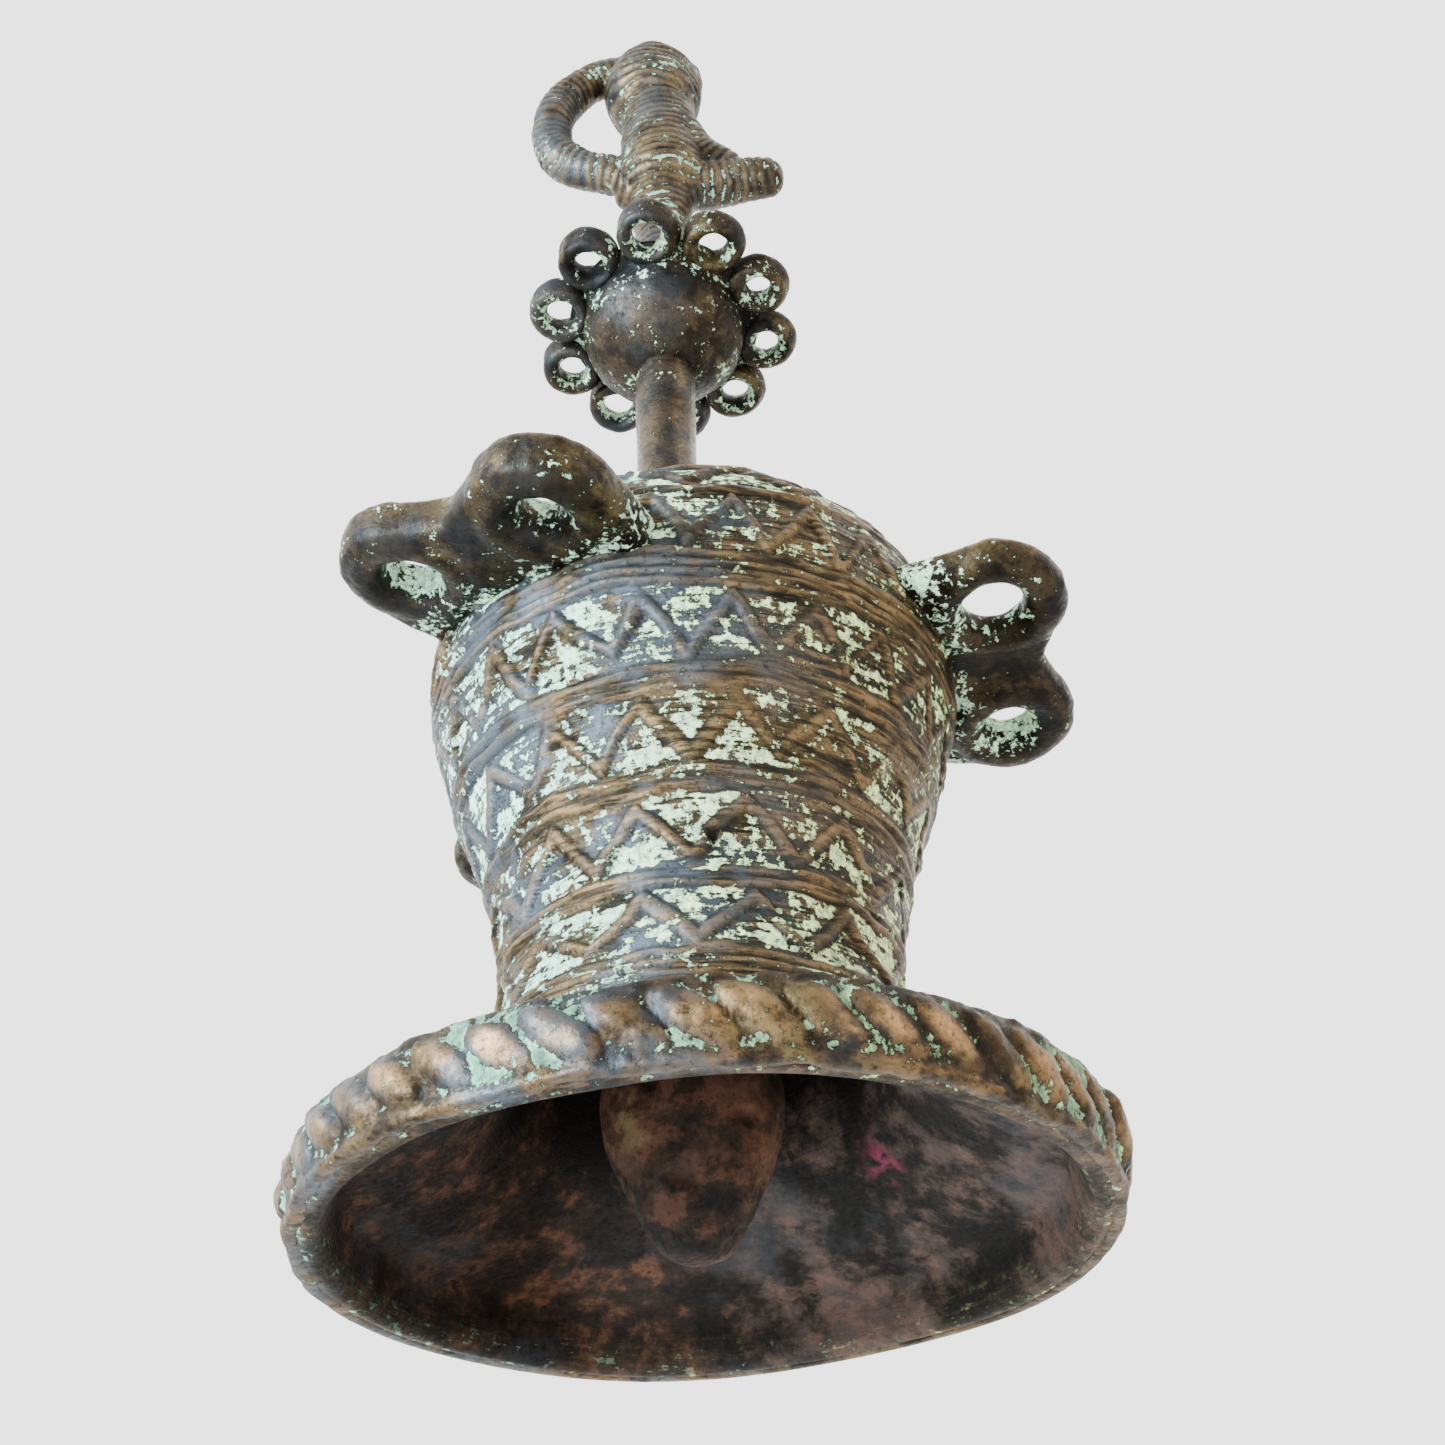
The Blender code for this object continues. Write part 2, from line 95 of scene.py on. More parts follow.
# ---- noise ----------------------------------------------------------------------------------
class Noise:
    """Smooth value noise from -1 to 1 on a repeating lattice, the same on every run."""

    SIZE = 48

    def __init__(self, seed):
        self.table = np.random.default_rng(seed).uniform(-1.0, 1.0, (self.SIZE, self.SIZE, self.SIZE))

    def at(self, points, scale):
        """Noise whose lumps are about scale metres across."""
        spot = np.asarray(points) / scale
        cell = np.floor(spot).astype(int)
        part = spot - cell
        part = part * part * (3.0 - 2.0 * part)
        total = 0.0
        for corner in range(8):
            step = np.array([corner & 1, corner >> 1 & 1, corner >> 2 & 1])
            weight = np.prod(np.where(step, part, 1.0 - part), axis=-1)
            index = (cell + step) % self.SIZE
            total = total + weight * self.table[index[..., 0], index[..., 1], index[..., 2]]
        return total

    def rough(self, points, scale, octaves):
        """Noise at a scale with finer noise laid over it, each octave half the size and half as strong."""
        total = 0.0
        gain = 1.0
        for octave in range(octaves):
            total = total + gain * self.at(points, scale / 2 ** octave)
            gain *= 0.5
        return total / 1.6


SOFT = Noise(11)
FINE = Noise(23)
BLOT = Noise(37)


def ramp(value, low, high):
    """0 below low, 1 above high and a smooth step between them."""
    share = np.clip((value - low) / (high - low), 0.0, 1.0)
    return share * share * (3.0 - 2.0 * share)


# ---- meshes ---------------------------------------------------------------------------------
def new_object(name, mesh):
    obj = bpy.data.objects.new(name, mesh)
    bpy.context.scene.collection.objects.link(obj)
    return obj


def grid_mesh(name, grid, wrap_rows=False, poles=None):
    """A closed skin over a grid of points: columns go round, rows go from the top down the outside.

    Its ends are closed by the two poles, or by joining the last row to the first.
    """
    rows, cols = grid.shape[:2]
    verts = grid.reshape(-1, 3)
    row = np.arange(rows if wrap_rows else rows - 1)[:, None]
    col = np.arange(cols)[None]
    right = (col + 1) % cols
    below = (row + 1) % rows
    quads = np.stack([row * cols + col, below * cols + col, below * cols + right, row * cols + right], -1)
    faces = quads.reshape(-1, 4).tolist()
    if poles:
        first = len(verts)
        verts = np.vstack([verts, poles])
        last_row = (rows - 1) * cols
        for k in range(cols):
            faces.append([first, k, (k + 1) % cols])
            faces.append([first + 1, last_row + (k + 1) % cols, last_row + k])
    mesh = bpy.data.meshes.new(name)
    mesh.from_pydata(verts.tolist(), [], faces)
    mesh.shade_smooth()
    return new_object(name, mesh)


def points_of(obj):
    flat = np.empty(len(obj.data.vertices) * 3)
    obj.data.vertices.foreach_get("co", flat)
    return flat.reshape(-1, 3)


def normals_of(obj):
    flat = np.empty(len(obj.data.vertices) * 3)
    obj.data.vertices.foreach_get("normal", flat)
    return flat.reshape(-1, 3)


def move_points(obj, points):
    obj.data.vertices.foreach_set("co", np.asarray(points, dtype=np.float64).ravel())
    obj.data.update()


def swell(obj, push):
    """Push each point along its normal by its own distance in metres; returns the new places."""
    points = points_of(obj) + normals_of(obj) * push[:, None]
    move_points(obj, points)
    return points


def paint(obj, **masks):
    """Store masks on the points for the materials to read."""
    for name, values in masks.items():
        layer = obj.data.attributes.new(name, "FLOAT", "POINT")
        full = np.broadcast_to(np.asarray(values, dtype=np.float64), (len(obj.data.vertices),))
        layer.data.foreach_set("value", np.ascontiguousarray(full))


def smooth_line(keys, per_span):
    """Catmull-Rom curve through the keys as an array of points."""
    keys = [np.array(key, dtype=float) for key in keys]
    line = []
    for i in range(len(keys) - 1):
        before, start, end = keys[max(i - 1, 0)], keys[i], keys[i + 1]
        after = keys[min(i + 2, len(keys) - 1)]
        for k in range(per_span):
            t = k / per_span
            line.append(0.5 * (2 * start + (end - before) * t
                               + (2 * before - 5 * start + 4 * end - after) * t ** 2
                               + (3 * start - before - 3 * end + after) * t ** 3))
    line.append(keys[-1])
    return np.array(line)


def lengths_along(line):
    """Distance from the line's start to each of its points."""
    return np.concatenate([[0.0], np.cumsum(np.linalg.norm(np.diff(line, axis=0), axis=1))])


def even_line(line, count):
    """The same line with its points at even distances."""
    along = lengths_along(line)
    wanted = np.linspace(0.0, along[-1], count)
    return np.stack([np.interp(wanted, along, line[:, k]) for k in range(line.shape[1])], 1)


def side_normals(line):
    """Unit normals of a (radius, height) profile that runs down the outside, pointing out."""
    slope = np.gradient(line, axis=0)
    slope /= np.linalg.norm(slope, axis=1)[:, None]
    return np.stack([-slope[:, 1], slope[:, 0]], 1)


def turned_grid(line, cols, centre=(0.0, 0.0)):
    """Points of a turned profile: rows along the profile, columns round the axis."""
    turn = np.linspace(0.0, 2 * math.pi, cols, endpoint=False) - math.pi
    x = line[:, :1] * np.sin(turn)[None] + centre[0]
    y = -line[:, :1] * np.cos(turn)[None] + centre[1]
    z = np.broadcast_to(line[:, 1:2], x.shape)
    return np.stack([x, y, z], -1), turn


def fused(name, sources, voxel, smoothing):
    """Melt overlapping closed solids into one skin and soften it."""
    mesh = bmesh.new()
    for source in sources:
        mesh.from_mesh(source.data)
        bpy.data.objects.remove(source, do_unlink=True)
    joined = bpy.data.meshes.new(name)
    mesh.to_mesh(joined)
    mesh.free()
    obj = new_object(name, joined)
    melt = obj.modifiers.new("melt", "REMESH")
    melt.mode = "VOXEL"
    melt.voxel_size = voxel
    soften = obj.modifiers.new("soften", "SMOOTH")
    soften.factor = 0.5
    soften.iterations = smoothing
    bpy.context.view_layer.update()
    graph = bpy.context.evaluated_depsgraph_get()
    skin = bpy.data.meshes.new_from_object(obj.evaluated_get(graph))
    bpy.data.objects.remove(obj, do_unlink=True)
    skin.shade_smooth()
    return new_object(name, skin)


def ring_mesh(name, radius, wire, place, around=48, section=20, squash=1.0):
    """A round ring of round or oval wire; place takes it from its own plane to the bell."""
    turn = np.linspace(0.0, 2 * math.pi, around, endpoint=False)
    cut = np.linspace(0.0, 2 * math.pi, section, endpoint=False)
    reach = radius + wire * np.cos(cut)[:, None]
    grid = np.stack([reach * np.cos(turn), reach * np.sin(turn),
                     np.broadcast_to(-wire * squash * np.sin(cut)[:, None], (section, around))], -1)
    obj = grid_mesh(name, grid, wrap_rows=True)
    obj.data.transform(place)
    return obj


def bar_mesh(name, centres, radii, around=40):
    """A round bar with round ends, swept along centre points in an XZ plane with a radius at each."""
    rounds = 6
    bulge = 0.8
    steepest = math.pi / 2 * 0.96
    centres = np.asarray(centres)
    radii = np.asarray(radii)
    along = np.gradient(centres, axis=0)
    along /= np.linalg.norm(along, axis=1)[:, None]
    side = np.array([0.0, 1.0, 0.0])
    first = np.cross(side, along)
    first /= np.linalg.norm(first, axis=1)[:, None]
    second = np.cross(along, first)
    rings = []
    for end, sign in ((0, -1.0), (len(centres) - 1, 1.0)):
        dome = []
        for k in range(rounds):
            lean = math.pi / 2 * (1 - k / rounds) if sign < 0 else math.pi / 2 * (k + 1) / rounds
            lean = min(lean, steepest)
            dome.append((centres[end] + sign * along[end] * radii[end] * math.sin(lean) * bulge,
                         radii[end] * math.cos(lean), first[end], second[end]))
        rings.append(dome)
    middle = list(zip(centres, radii, first, second))
    turn = np.linspace(0.0, 2 * math.pi, around, endpoint=False)
    grid = np.array([[centre + radius * (math.cos(t) * one + math.sin(t) * two) for t in turn]
                     for centre, radius, one, two in rings[0] + middle + rings[1]])
    tip = bulge + 0.02
    poles = [centres[0] - along[0] * radii[0] * tip, centres[-1] + along[-1] * radii[-1] * tip]
    return grid_mesh(name, grid[:, ::-1], poles=poles)


def turned_mesh(name, keys, rows, cols, centre):
    """A solid turned from keys in mm that start and end on the axis."""
    line = even_line(smooth_line(np.array(keys) * MM, 12), rows)
    line[:, 0] = np.maximum(line[:, 0], 0.0)
    grid, _ = turned_grid(line[1:-1], cols, centre)
    poles = [(*centre, line[0, 1]), (*centre, line[-1, 1])]
    return grid_mesh(name, grid, poles=poles)


# ---- materials ------------------------------------------------------------------------------
class Shader:
    """Small helper to wire a procedural Principled material; masks are the painted attributes."""

    def __init__(self, name):
        self.material = bpy.data.materials.new(name)
        self.material.use_nodes = True
        self.nodes = self.material.node_tree.nodes
        self.links = self.material.node_tree.links
        self.surface = self.nodes["Principled BSDF"]
        self.place = self.nodes.new("ShaderNodeTexCoord").outputs["Object"]

    def put(self, value, socket):
        """Link an output to a socket, or set the socket to a number or a colour."""
        if isinstance(value, bpy.types.NodeSocket):
            self.links.new(value, socket)
        elif isinstance(value, tuple) and len(value) == 3 and socket.type == "RGBA":
            socket.default_value = (*value, 1.0)
        else:
            socket.default_value = value

    def mask(self, name):
        node = self.nodes.new("ShaderNodeAttribute")
        node.attribute_name = name
        return node.outputs["Fac"]

    def noise(self, size, detail=4.0, stretch=(1.0, 1.0, 1.0), roughness=0.6):
        """Noise between about 0 and 1 whose lumps are size metres across."""
        mapping = self.nodes.new("ShaderNodeMapping")
        mapping.inputs["Scale"].default_value = stretch
        self.links.new(self.place, mapping.inputs["Vector"])
        node = self.nodes.new("ShaderNodeTexNoise")
        node.inputs["Scale"].default_value = 1.0 / size
        node.inputs["Detail"].default_value = detail
        node.inputs["Roughness"].default_value = roughness
        self.links.new(mapping.outputs["Vector"], node.inputs["Vector"])
        return node.outputs["Fac"]

    def math(self, operation, a, b):
        node = self.nodes.new("ShaderNodeMath")
        node.operation = operation
        self.put(a, node.inputs[0])
        self.put(b, node.inputs[1])
        return node.outputs[0]

    def times(self, a, b):
        return self.math("MULTIPLY", a, b)

    def plus(self, a, b):
        return self.math("ADD", a, b)

    def minus(self, a, b):
        return self.math("SUBTRACT", a, b)

    def ramp(self, value, low, high, out_low=0.0, out_high=1.0):
        node = self.nodes.new("ShaderNodeMapRange")
        node.interpolation_type = "SMOOTHSTEP"
        self.put(value, node.inputs["Value"])
        node.inputs["From Min"].default_value = low
        node.inputs["From Max"].default_value = high
        node.inputs["To Min"].default_value = out_low
        node.inputs["To Max"].default_value = out_high
        return node.outputs["Result"]

    def mix(self, share, a, b):
        """Colour a where share is 0, b where it is 1."""
        node = self.nodes.new("ShaderNodeMix")
        node.data_type = "RGBA"
        self.put(share, node.inputs["Factor"])
        self.put(a, node.inputs["A"])
        self.put(b, node.inputs["B"])
        return node.outputs["Result"]

    def bump(self, height, distance, strength=1.0, below=None):
        node = self.nodes.new("ShaderNodeBump")
        node.inputs["Distance"].default_value = distance
        node.inputs["Strength"].default_value = strength
        self.put(height, node.inputs["Height"])
        if below is not None:
            self.links.new(below, node.inputs["Normal"])
        return node.outputs["Normal"]


MINT = (0.62, 0.95, 0.70)
MOSS = (0.82, 0.95, 0.38)
TURQUOISE = (0.34, 0.78, 0.50)
LEAF = (0.42, 0.66, 0.30)
FINIAL_GREEN = (0.30, 0.52, 0.38)
CHALKY = (0.30, 0.42, 0.34)
GOLDEN = (0.13, 0.098, 0.042)
PAINTED_COOL_SHEEN = (0.070, 0.088, 0.105)
PAINTED_SHADE = (0.010, 0.008, 0.006)
NEAR_BLACK = (0.004, 0.003, 0.002)
DARK_BROWN = (0.026, 0.015, 0.010)
RUST = (0.105, 0.044, 0.022)
SLATE = (0.034, 0.034, 0.037)
BLACK_PIT = (0.004, 0.003, 0.003)
PAINTED_LIGHT_BROWN = (0.085, 0.062, 0.056)
SHADED = (0.006, 0.003, 0.002)
MAGENTA = (0.17, 0.022, 0.055)


def darker(colour, share):
    return tuple(share * part for part in colour)


def rusty_wall(s):
    """Colour of the wall that faces the hollow: a near black base that is partly painted shade of the
    hollow, rusty brown and slate grey blots, painted light on the right and painted shade on the left.
    """
    cloud = s.noise(11 * MM, 6.0, roughness=0.7)
    spot = s.noise(3.4 * MM, 5.0)
    haze = s.noise(20 * MM, 4.0)
    # The near black base is the wall's dark oxide and also painted shade inside the hollow.
    wall = s.mix(s.ramp(cloud, 0.38, 0.66), NEAR_BLACK, DARK_BROWN)
    rusted = s.times(s.ramp(spot, 0.44, 0.60), s.ramp(cloud, 0.46, 0.62))
    wall = s.mix(rusted, wall, RUST)
    wall = s.mix(s.ramp(haze, 0.54, 0.66, 0.0, 0.6), wall, SLATE)
    wall = s.mix(s.ramp(spot, 0.58, 0.70, 0.0, 0.8), wall, BLACK_PIT)
    # Painted light: blots on the right of the inner wall are lightened.
    right = s.ramp(s.mask("warm"), 0.45, 1.0, 0.0, 0.5)
    wall = s.mix(s.times(right, s.ramp(cloud, 0.44, 0.60)), wall, PAINTED_LIGHT_BROWN)
    # Painted shade: the left of the inner wall is darkened.
    wall = s.mix(s.times(s.mask("left"), 0.4), wall, SHADED)
    stained = s.times(s.mask("stain"), s.ramp(spot, 0.40, 0.52))
    return s.mix(stained, wall, MAGENTA)


def bronze(name, dark, mid, rubbed, patina_size, metallic=0.6, striations=True, cool=0.5,
           patina=MINT, patina_far=MOSS, roughness=0.40, lines=0.35, inner_wall=False):
    """Aged bronze: dark and mid metal, rubbed high places, a painted cool sheen, painted dark edges round
    the patina, painted shade where the shade mask lies, and patina where it is painted.

    The patina goes from one colour to patina_far from the left side to the right, a painted tint of the cool
    light on the left and the warm light on the right. patina_size is the size of its specks, lines is how
    strong the fine lines are, and the cool sheen argument is how bluish the left-side mask makes the metal
    as a painted sheen. On the lugs the colour for rubbed places also paints highlights.
    """
    s = Shader(name)
    streak_stretch = (1.0, 1.0, 7.0) if striations else (1.0, 1.0, 1.0)
    hatch_stretch = (1.0, 1.0, 12.0) if striations else (1.0, 1.0, 1.6)
    streak = s.noise(5 * MM, 8.0, streak_stretch, 0.72)
    grain = s.noise(0.8 * MM, 5.0, roughness=0.7)
    cloud = s.noise(12 * MM, 4.0)
    speck = s.noise(patina_size, 7.0, roughness=0.7)
    hatch = s.noise(7 * MM, 5.0, hatch_stretch, 0.62)

    metal = s.mix(s.ramp(streak, 0.40, 0.60), dark, mid)
    metal = s.mix(s.ramp(hatch, 0.50, 0.57, 0.0, lines), metal, darker(rubbed, 0.75))
    metal = s.mix(s.ramp(hatch, 0.46, 0.39, 0.0, lines), metal, darker(dark, 0.5))
    golden = s.times(s.ramp(cloud, 0.50, 0.64), s.ramp(streak, 0.45, 0.6))
    metal = s.mix(s.times(golden, 0.6), metal, GOLDEN)
    # Painted cool sheen: the metal turns bluish towards the left side, where the cool light falls.
    bluish = s.times(s.ramp(cloud, 0.58, 0.40), s.times(s.mask("cool"), cool))
    metal = s.mix(bluish, metal, PAINTED_COOL_SHEEN)
    rub = s.times(s.mask("rub"), s.ramp(streak, 0.42, 0.58, 0.3, 1.0))
    metal = s.mix(rub, metal, rubbed)
    metal = s.mix(s.ramp(grain, 0.54, 0.70, 0.0, 0.75), metal, darker(dark, 0.6))

    edge = s.plus(s.mask("patina"), s.times(s.minus(speck, 0.5), 3.3))
    edge = s.plus(edge, s.times(s.minus(streak, 0.5), 1.1))
    edge = s.plus(edge, s.times(s.minus(hatch, 0.5), 1.6))
    green = s.ramp(edge, 0.50, 0.64)
    # Painted shade: a dark edge round each patch of patina.
    edge_shade = s.times(s.ramp(edge, 0.22, 0.46), s.minus(1.0, green))
    metal = s.mix(s.times(edge_shade, 0.62), metal, darker(dark, 0.5))
    # Painted light tint: the patina runs from its cool colour on the left to its warm colour on the right.
    tone = s.mix(s.mask("warm"), patina, patina_far)
    tone = s.mix(s.ramp(grain, 0.42, 0.60, 0.0, 0.78), tone, darker(patina, 0.30))
    tone = s.mix(s.ramp(cloud, 0.40, 0.66, 0.0, 0.35), tone, CHALKY)
    colour = s.mix(green, metal, tone)
    # Painted shade: the shade mask darkens grooves, gaps, pits and the pinhole, and whole parts in the
    # crown.
    colour = s.mix(s.mask("shade"), colour, PAINTED_SHADE)

    shine = s.ramp(green, 0.0, 1.0, metallic, 0.0)
    rough = s.plus(s.ramp(grain, 0.3, 0.7, roughness - 0.12, roughness + 0.16), s.times(green, 0.3))
    if inner_wall:
        inside = s.mask("inside")
        colour = s.mix(inside, colour, rusty_wall(s))
        shaded = s.ramp(s.mask("left"), 0.0, 1.0, 0.1, 0.85)
        shine = s.plus(s.times(shine, s.minus(1.0, inside)), s.times(shaded, inside))
        rough = s.plus(rough, s.times(inside, 0.32))
    s.links.new(colour, s.surface.inputs["Base Color"])
    s.links.new(shine, s.surface.inputs["Metallic"])
    s.surface.inputs["Specular IOR Level"].default_value = 0.18
    s.links.new(rough, s.surface.inputs["Roughness"])
    normal = s.bump(streak, 0.35 * MM, 0.6)
    normal = s.bump(grain, 0.16 * MM, 0.6, normal)
    normal = s.bump(s.times(green, speck), 0.2 * MM, 0.6, normal)
    s.links.new(normal, s.surface.inputs["Normal"])
    return s.material


def dress(obj, material):
    obj.data.materials.clear()
    obj.data.materials.append(material)
    return obj


def sides(points):
    """How far to the right and to the left a point lies, each from 0 to 1: the masks of the painted warm
    light tint and of the painted cool sheen.
    """
    x = points[:, 0] - AXIS.x
    warm = ramp(x, -22 * MM, 14 * MM)
    return warm, 1.0 - ramp(x, -12 * MM, 24 * MM)


# ---- bell body ------------------------------------------------------------------------------
def rim_wave(points):
    """How far the hand-made rim rises above its lowest places, fading out above the flare."""
    turn = np.arctan2(points[..., 0] - AXIS.x, -(points[..., 1] - AXIS.y))
    fade = 1.0 - ramp(points[..., 2], 10 * MM, 26 * MM)
    wave = 0.9 - 0.9 * np.cos(turn + 0.9) + 0.25 * np.sin(3 * turn) + 0.2 * np.sin(5 * turn + 1.0)
    return np.maximum(wave, 0.0) * MM * fade


def thread_pattern(turn, radius, along, along_of_height, spots):
    """Distance from the nearest wax thread in half threads, and how much patina each cell holds.

    along is the distance down the profile from the crown; the rows' edges are found on it by height.
    """
    drift = 0.9 * MM * SOFT.at(spots, 12 * MM) + 0.42 * MM * SOFT.at(spots, 3.6 * MM)
    slip = 1.5 * MM * SOFT.at(spots + 0.5, 10 * MM)
    level = along + drift
    pick = np.random.default_rng(71).uniform(0.0, 1.0, (len(RELIEF), 64, 2))
    near = np.full_like(along, 9.0)
    fill = np.full_like(along, 0.3)
    swollen = 1.0 + 0.3 * FINE.at(spots, 6 * MM)
    for row, (kind, low, high, count) in enumerate(RELIEF):
        top = along_of_height(high * MM)
        foot = along_of_height(low * MM)
        inside = (level > top - 0.4 * MM) & (level < foot + 0.4 * MM)
        if kind == "threads":
            pitch = (foot - top) / count
            for k in range(count):
                centre = top + pitch * (k + 0.5)
                near = np.minimum(near, np.abs(level - centre) / (0.46 * pitch * swollen))
            fill = np.where(inside, 0.40, fill)
        else:
            travel = (turn * radius + slip) / radius * count / (2 * math.pi)
            tooth = np.abs((travel % 1.0) * 2.0 - 1.0)
            tall = (foot - top) * (0.80 + 0.16 * SOFT.at(spots + 2.0, 9 * MM))
            centre = top + (foot - top) * 0.10 + tall * tooth
            run = math.pi * radius / count
            gap = np.abs(level - centre) * run / np.hypot(run, tall)
            near = np.where(inside, np.minimum(near, gap / (THREAD_HALF * swollen)), near)
            above = (level < centre).astype(int)
            cell = np.floor(travel + 0.5 * above).astype(int) % count
            fill = np.where(inside, 0.34 + 0.52 * pick[row, cell, above], fill)
    return near, fill


def outer_skin(outer):
    """Points of the outer skin with its relief, and how much patina, rub and painted shade each carries."""
    along = lengths_along(outer)
    grid, turn = turned_grid(outer, BODY_COLS, (AXIS.x, AXIS.y))
    shape = grid.shape[:2]
    slope = side_normals(outer)
    out = np.stack([slope[:, :1] * np.sin(turn), -slope[:, :1] * np.cos(turn),
                    np.broadcast_to(slope[:, 1:], shape)], -1)
    radius = np.broadcast_to(outer[:, :1], shape) + 1e-6
    turns = np.broadcast_to(turn, shape)
    lengths = np.broadcast_to(along[:, None], shape)

    def along_of_height(height):
        return np.interp(-height, -outer[:, 1], along)

    # Shape: threads that break off and wear down, lumps, pits and the pinhole; none of it under the stem.
    near, fill = thread_pattern(turns, radius, lengths, along_of_height, grid)
    worn = ramp(SOFT.rough(grid, 26 * MM, 2), -0.05, 0.5)
    broken = ramp(FINE.rough(grid * np.array([1.0, 1.0, 5.0]) + 3.0, 8 * MM, 2), -0.62, -0.05)
    ridge = np.clip(1.0 - near ** 2, 0.0, 1.0) ** 0.6 * (0.25 + 0.75 * broken)
    melted = ramp(BLOT.at(grid, 6 * MM), -0.2, 0.6)
    relief = ridge * (1.0 - 0.55 * worn) + 0.5 * worn * melted * (1.0 - 0.3 * ridge)
    lump = SOFT.rough(grid, 24 * MM, 3) * 0.5 * MM
    pitting = FINE.rough(grid, 2.2 * MM, 3) * 0.14 * MM
    brushed = FINE.rough(grid * np.array([1.0, 1.0, 7.0]), 6 * MM, 3) * 0.24 * MM
    hole = np.hypot((turns - PINHOLE_TURN) * radius, grid[..., 2] - PINHOLE_HEIGHT)
    pin = 1.0 - ramp(hole, PINHOLE_RADIUS, 1.8 * PINHOLE_RADIUS)
    crown_fade = ramp(lengths, 6 * MM, 12 * MM)
    push = relief * THREAD_HEIGHT + lump + pitting + brushed - PINHOLE_DEPTH * pin + 0.1 * MM
    skin = grid + out * (push * crown_fade)[..., None]

    # Patina fills the cells between threads, in blots and flecks, and more of it low down.
    hollow = ramp(near, 0.85, 1.6)
    blot = BLOT.rough(grid, 5.5 * MM, 3)
    cover = ramp(SOFT.at(grid + 1.0, 26 * MM), -0.7, 0.4)
    flaked = 0.5 + 0.5 * ramp(BLOT.rough(grid + 4.0, 4 * MM, 2), -0.5, 0.2)
    patina = hollow * fill * flaked * (0.70 + 0.24 * cover) + 0.34 * blot * (0.3 + hollow) - 0.08 * worn
    fleck = ramp(FINE.rough(grid * np.array([1.0, 1.0, 2.6]) + 5.0, 4.2 * MM, 3), 0.02, 0.34)
    low_down = 1.0 - ramp(grid[..., 2], 24 * MM, 50 * MM)
    patina = patina + 0.12 * low_down * hollow
    patina = np.maximum(patina, (0.60 + 0.28 * low_down) * fleck * (0.55 + 0.45 * hollow))
    patina = np.clip(patina * (1.0 - pin), 0.0, 1.0)

    # Threads are rubbed bright in strands and patches; painted shade darkens the grooves along their feet
    # and the pinhole.
    rub = ramp(ridge, 0.35, 1.0) * (1.0 - 0.3 * worn) + 0.4 * worn * melted
    strand = ramp(SOFT.rough(grid * np.array([1.0, 1.0, 4.0]) + 7.0, 9 * MM, 3), -0.3, 0.35)
    patch = ramp(BLOT.at(grid, 16 * MM), -0.3, 0.4)
    rub = np.clip(rub * (0.35 + 0.65 * strand) * (0.4 + 0.6 * patch), 0.0, 1.0)
    crevice = (1.0 - ramp(np.abs(near - 1.08), 0.10, 0.42)) * (0.20 + 0.45 * broken)
    return skin, {"patina": patina, "rub": rub, "shade": np.maximum(pin, crevice)}


def lining_skin(outer):
    """Points of the lip and of the wall that faces the hollow, from the lip's outer edge up to the crown."""
    lip = np.array([(LIP_OUTER, 6.0 * MM), (LIP_OUTER + 1.0 * MM, 1.6 * MM),
                    (LIP_OUTER + 0.7 * MM, 0.5 * MM), (LIP_OUTER - 0.2 * MM, 0.1 * MM),
                    (LIP_INNER + 1.0 * MM, 0.1 * MM), (LIP_INNER + 0.3 * MM, 0.6 * MM),
                    (LIP_INNER - 0.1 * MM, 1.6 * MM)])
    lip = even_line(lip, LIP_ROWS)
    wall = outer - side_normals(outer) * WALL
    wall = wall[wall[:, 0] < LIP_INNER - 1.2 * MM][::-1]
    wall = wall[wall[:, 0] > 0.4 * MM]
    wall = even_line(np.vstack([[LIP_INNER - 0.3 * MM, 2.6 * MM], wall]), LINING_ROWS)
    grid, turn = turned_grid(np.vstack([lip, wall]), BODY_COLS, (AXIS.x, AXIS.y))
    bump = (0.5 * SOFT.rough(grid, 13 * MM, 3) + 0.22 * FINE.rough(grid, 3 * MM, 3)) * MM
    flat = ramp(grid[..., 2], 0.5 * MM, 5 * MM) * 0.75 + 0.25
    push = bump * flat
    return grid + np.stack([np.sin(turn) * push, -np.cos(turn) * push, 0.6 * push * flat], -1)


def lining_masks(grid):
    """How much patina, rub, inner wall and stain the points of the lining carry."""
    height = grid[..., 2]
    lip = 1.0 - ramp(height, 1.0 * MM, 7 * MM)
    reach = np.hypot(grid[..., 0] - AXIS.x, grid[..., 1] - AXIS.y)
    wall = ramp(height, 0.6 * MM, 3.0 * MM) * (reach < LIP_INNER + 0.2 * MM)
    face = 0.85 * ramp(LIP_OUTER - reach, -0.4 * MM, 1.2 * MM)
    spot = np.array([AXIS.x + STAIN_REACH * math.sin(STAIN_TURN),
                     AXIS.y - STAIN_REACH * math.cos(STAIN_TURN), STAIN_HEIGHT])
    blur = 2.0 * MM * SOFT.at(grid, 4 * MM)
    away = np.linalg.norm((grid - spot) * np.array([1.0, 1.0, 1.3]), axis=-1) + blur
    return {"patina": 0.22 * lip, "rub": 0.4 * lip * ramp(BLOT.at(grid, 9 * MM), -0.5, 0.4),
            "inside": np.maximum(wall, face), "stain": 1.0 - ramp(away, STAIN_RADIUS, 5.0 * MM)}


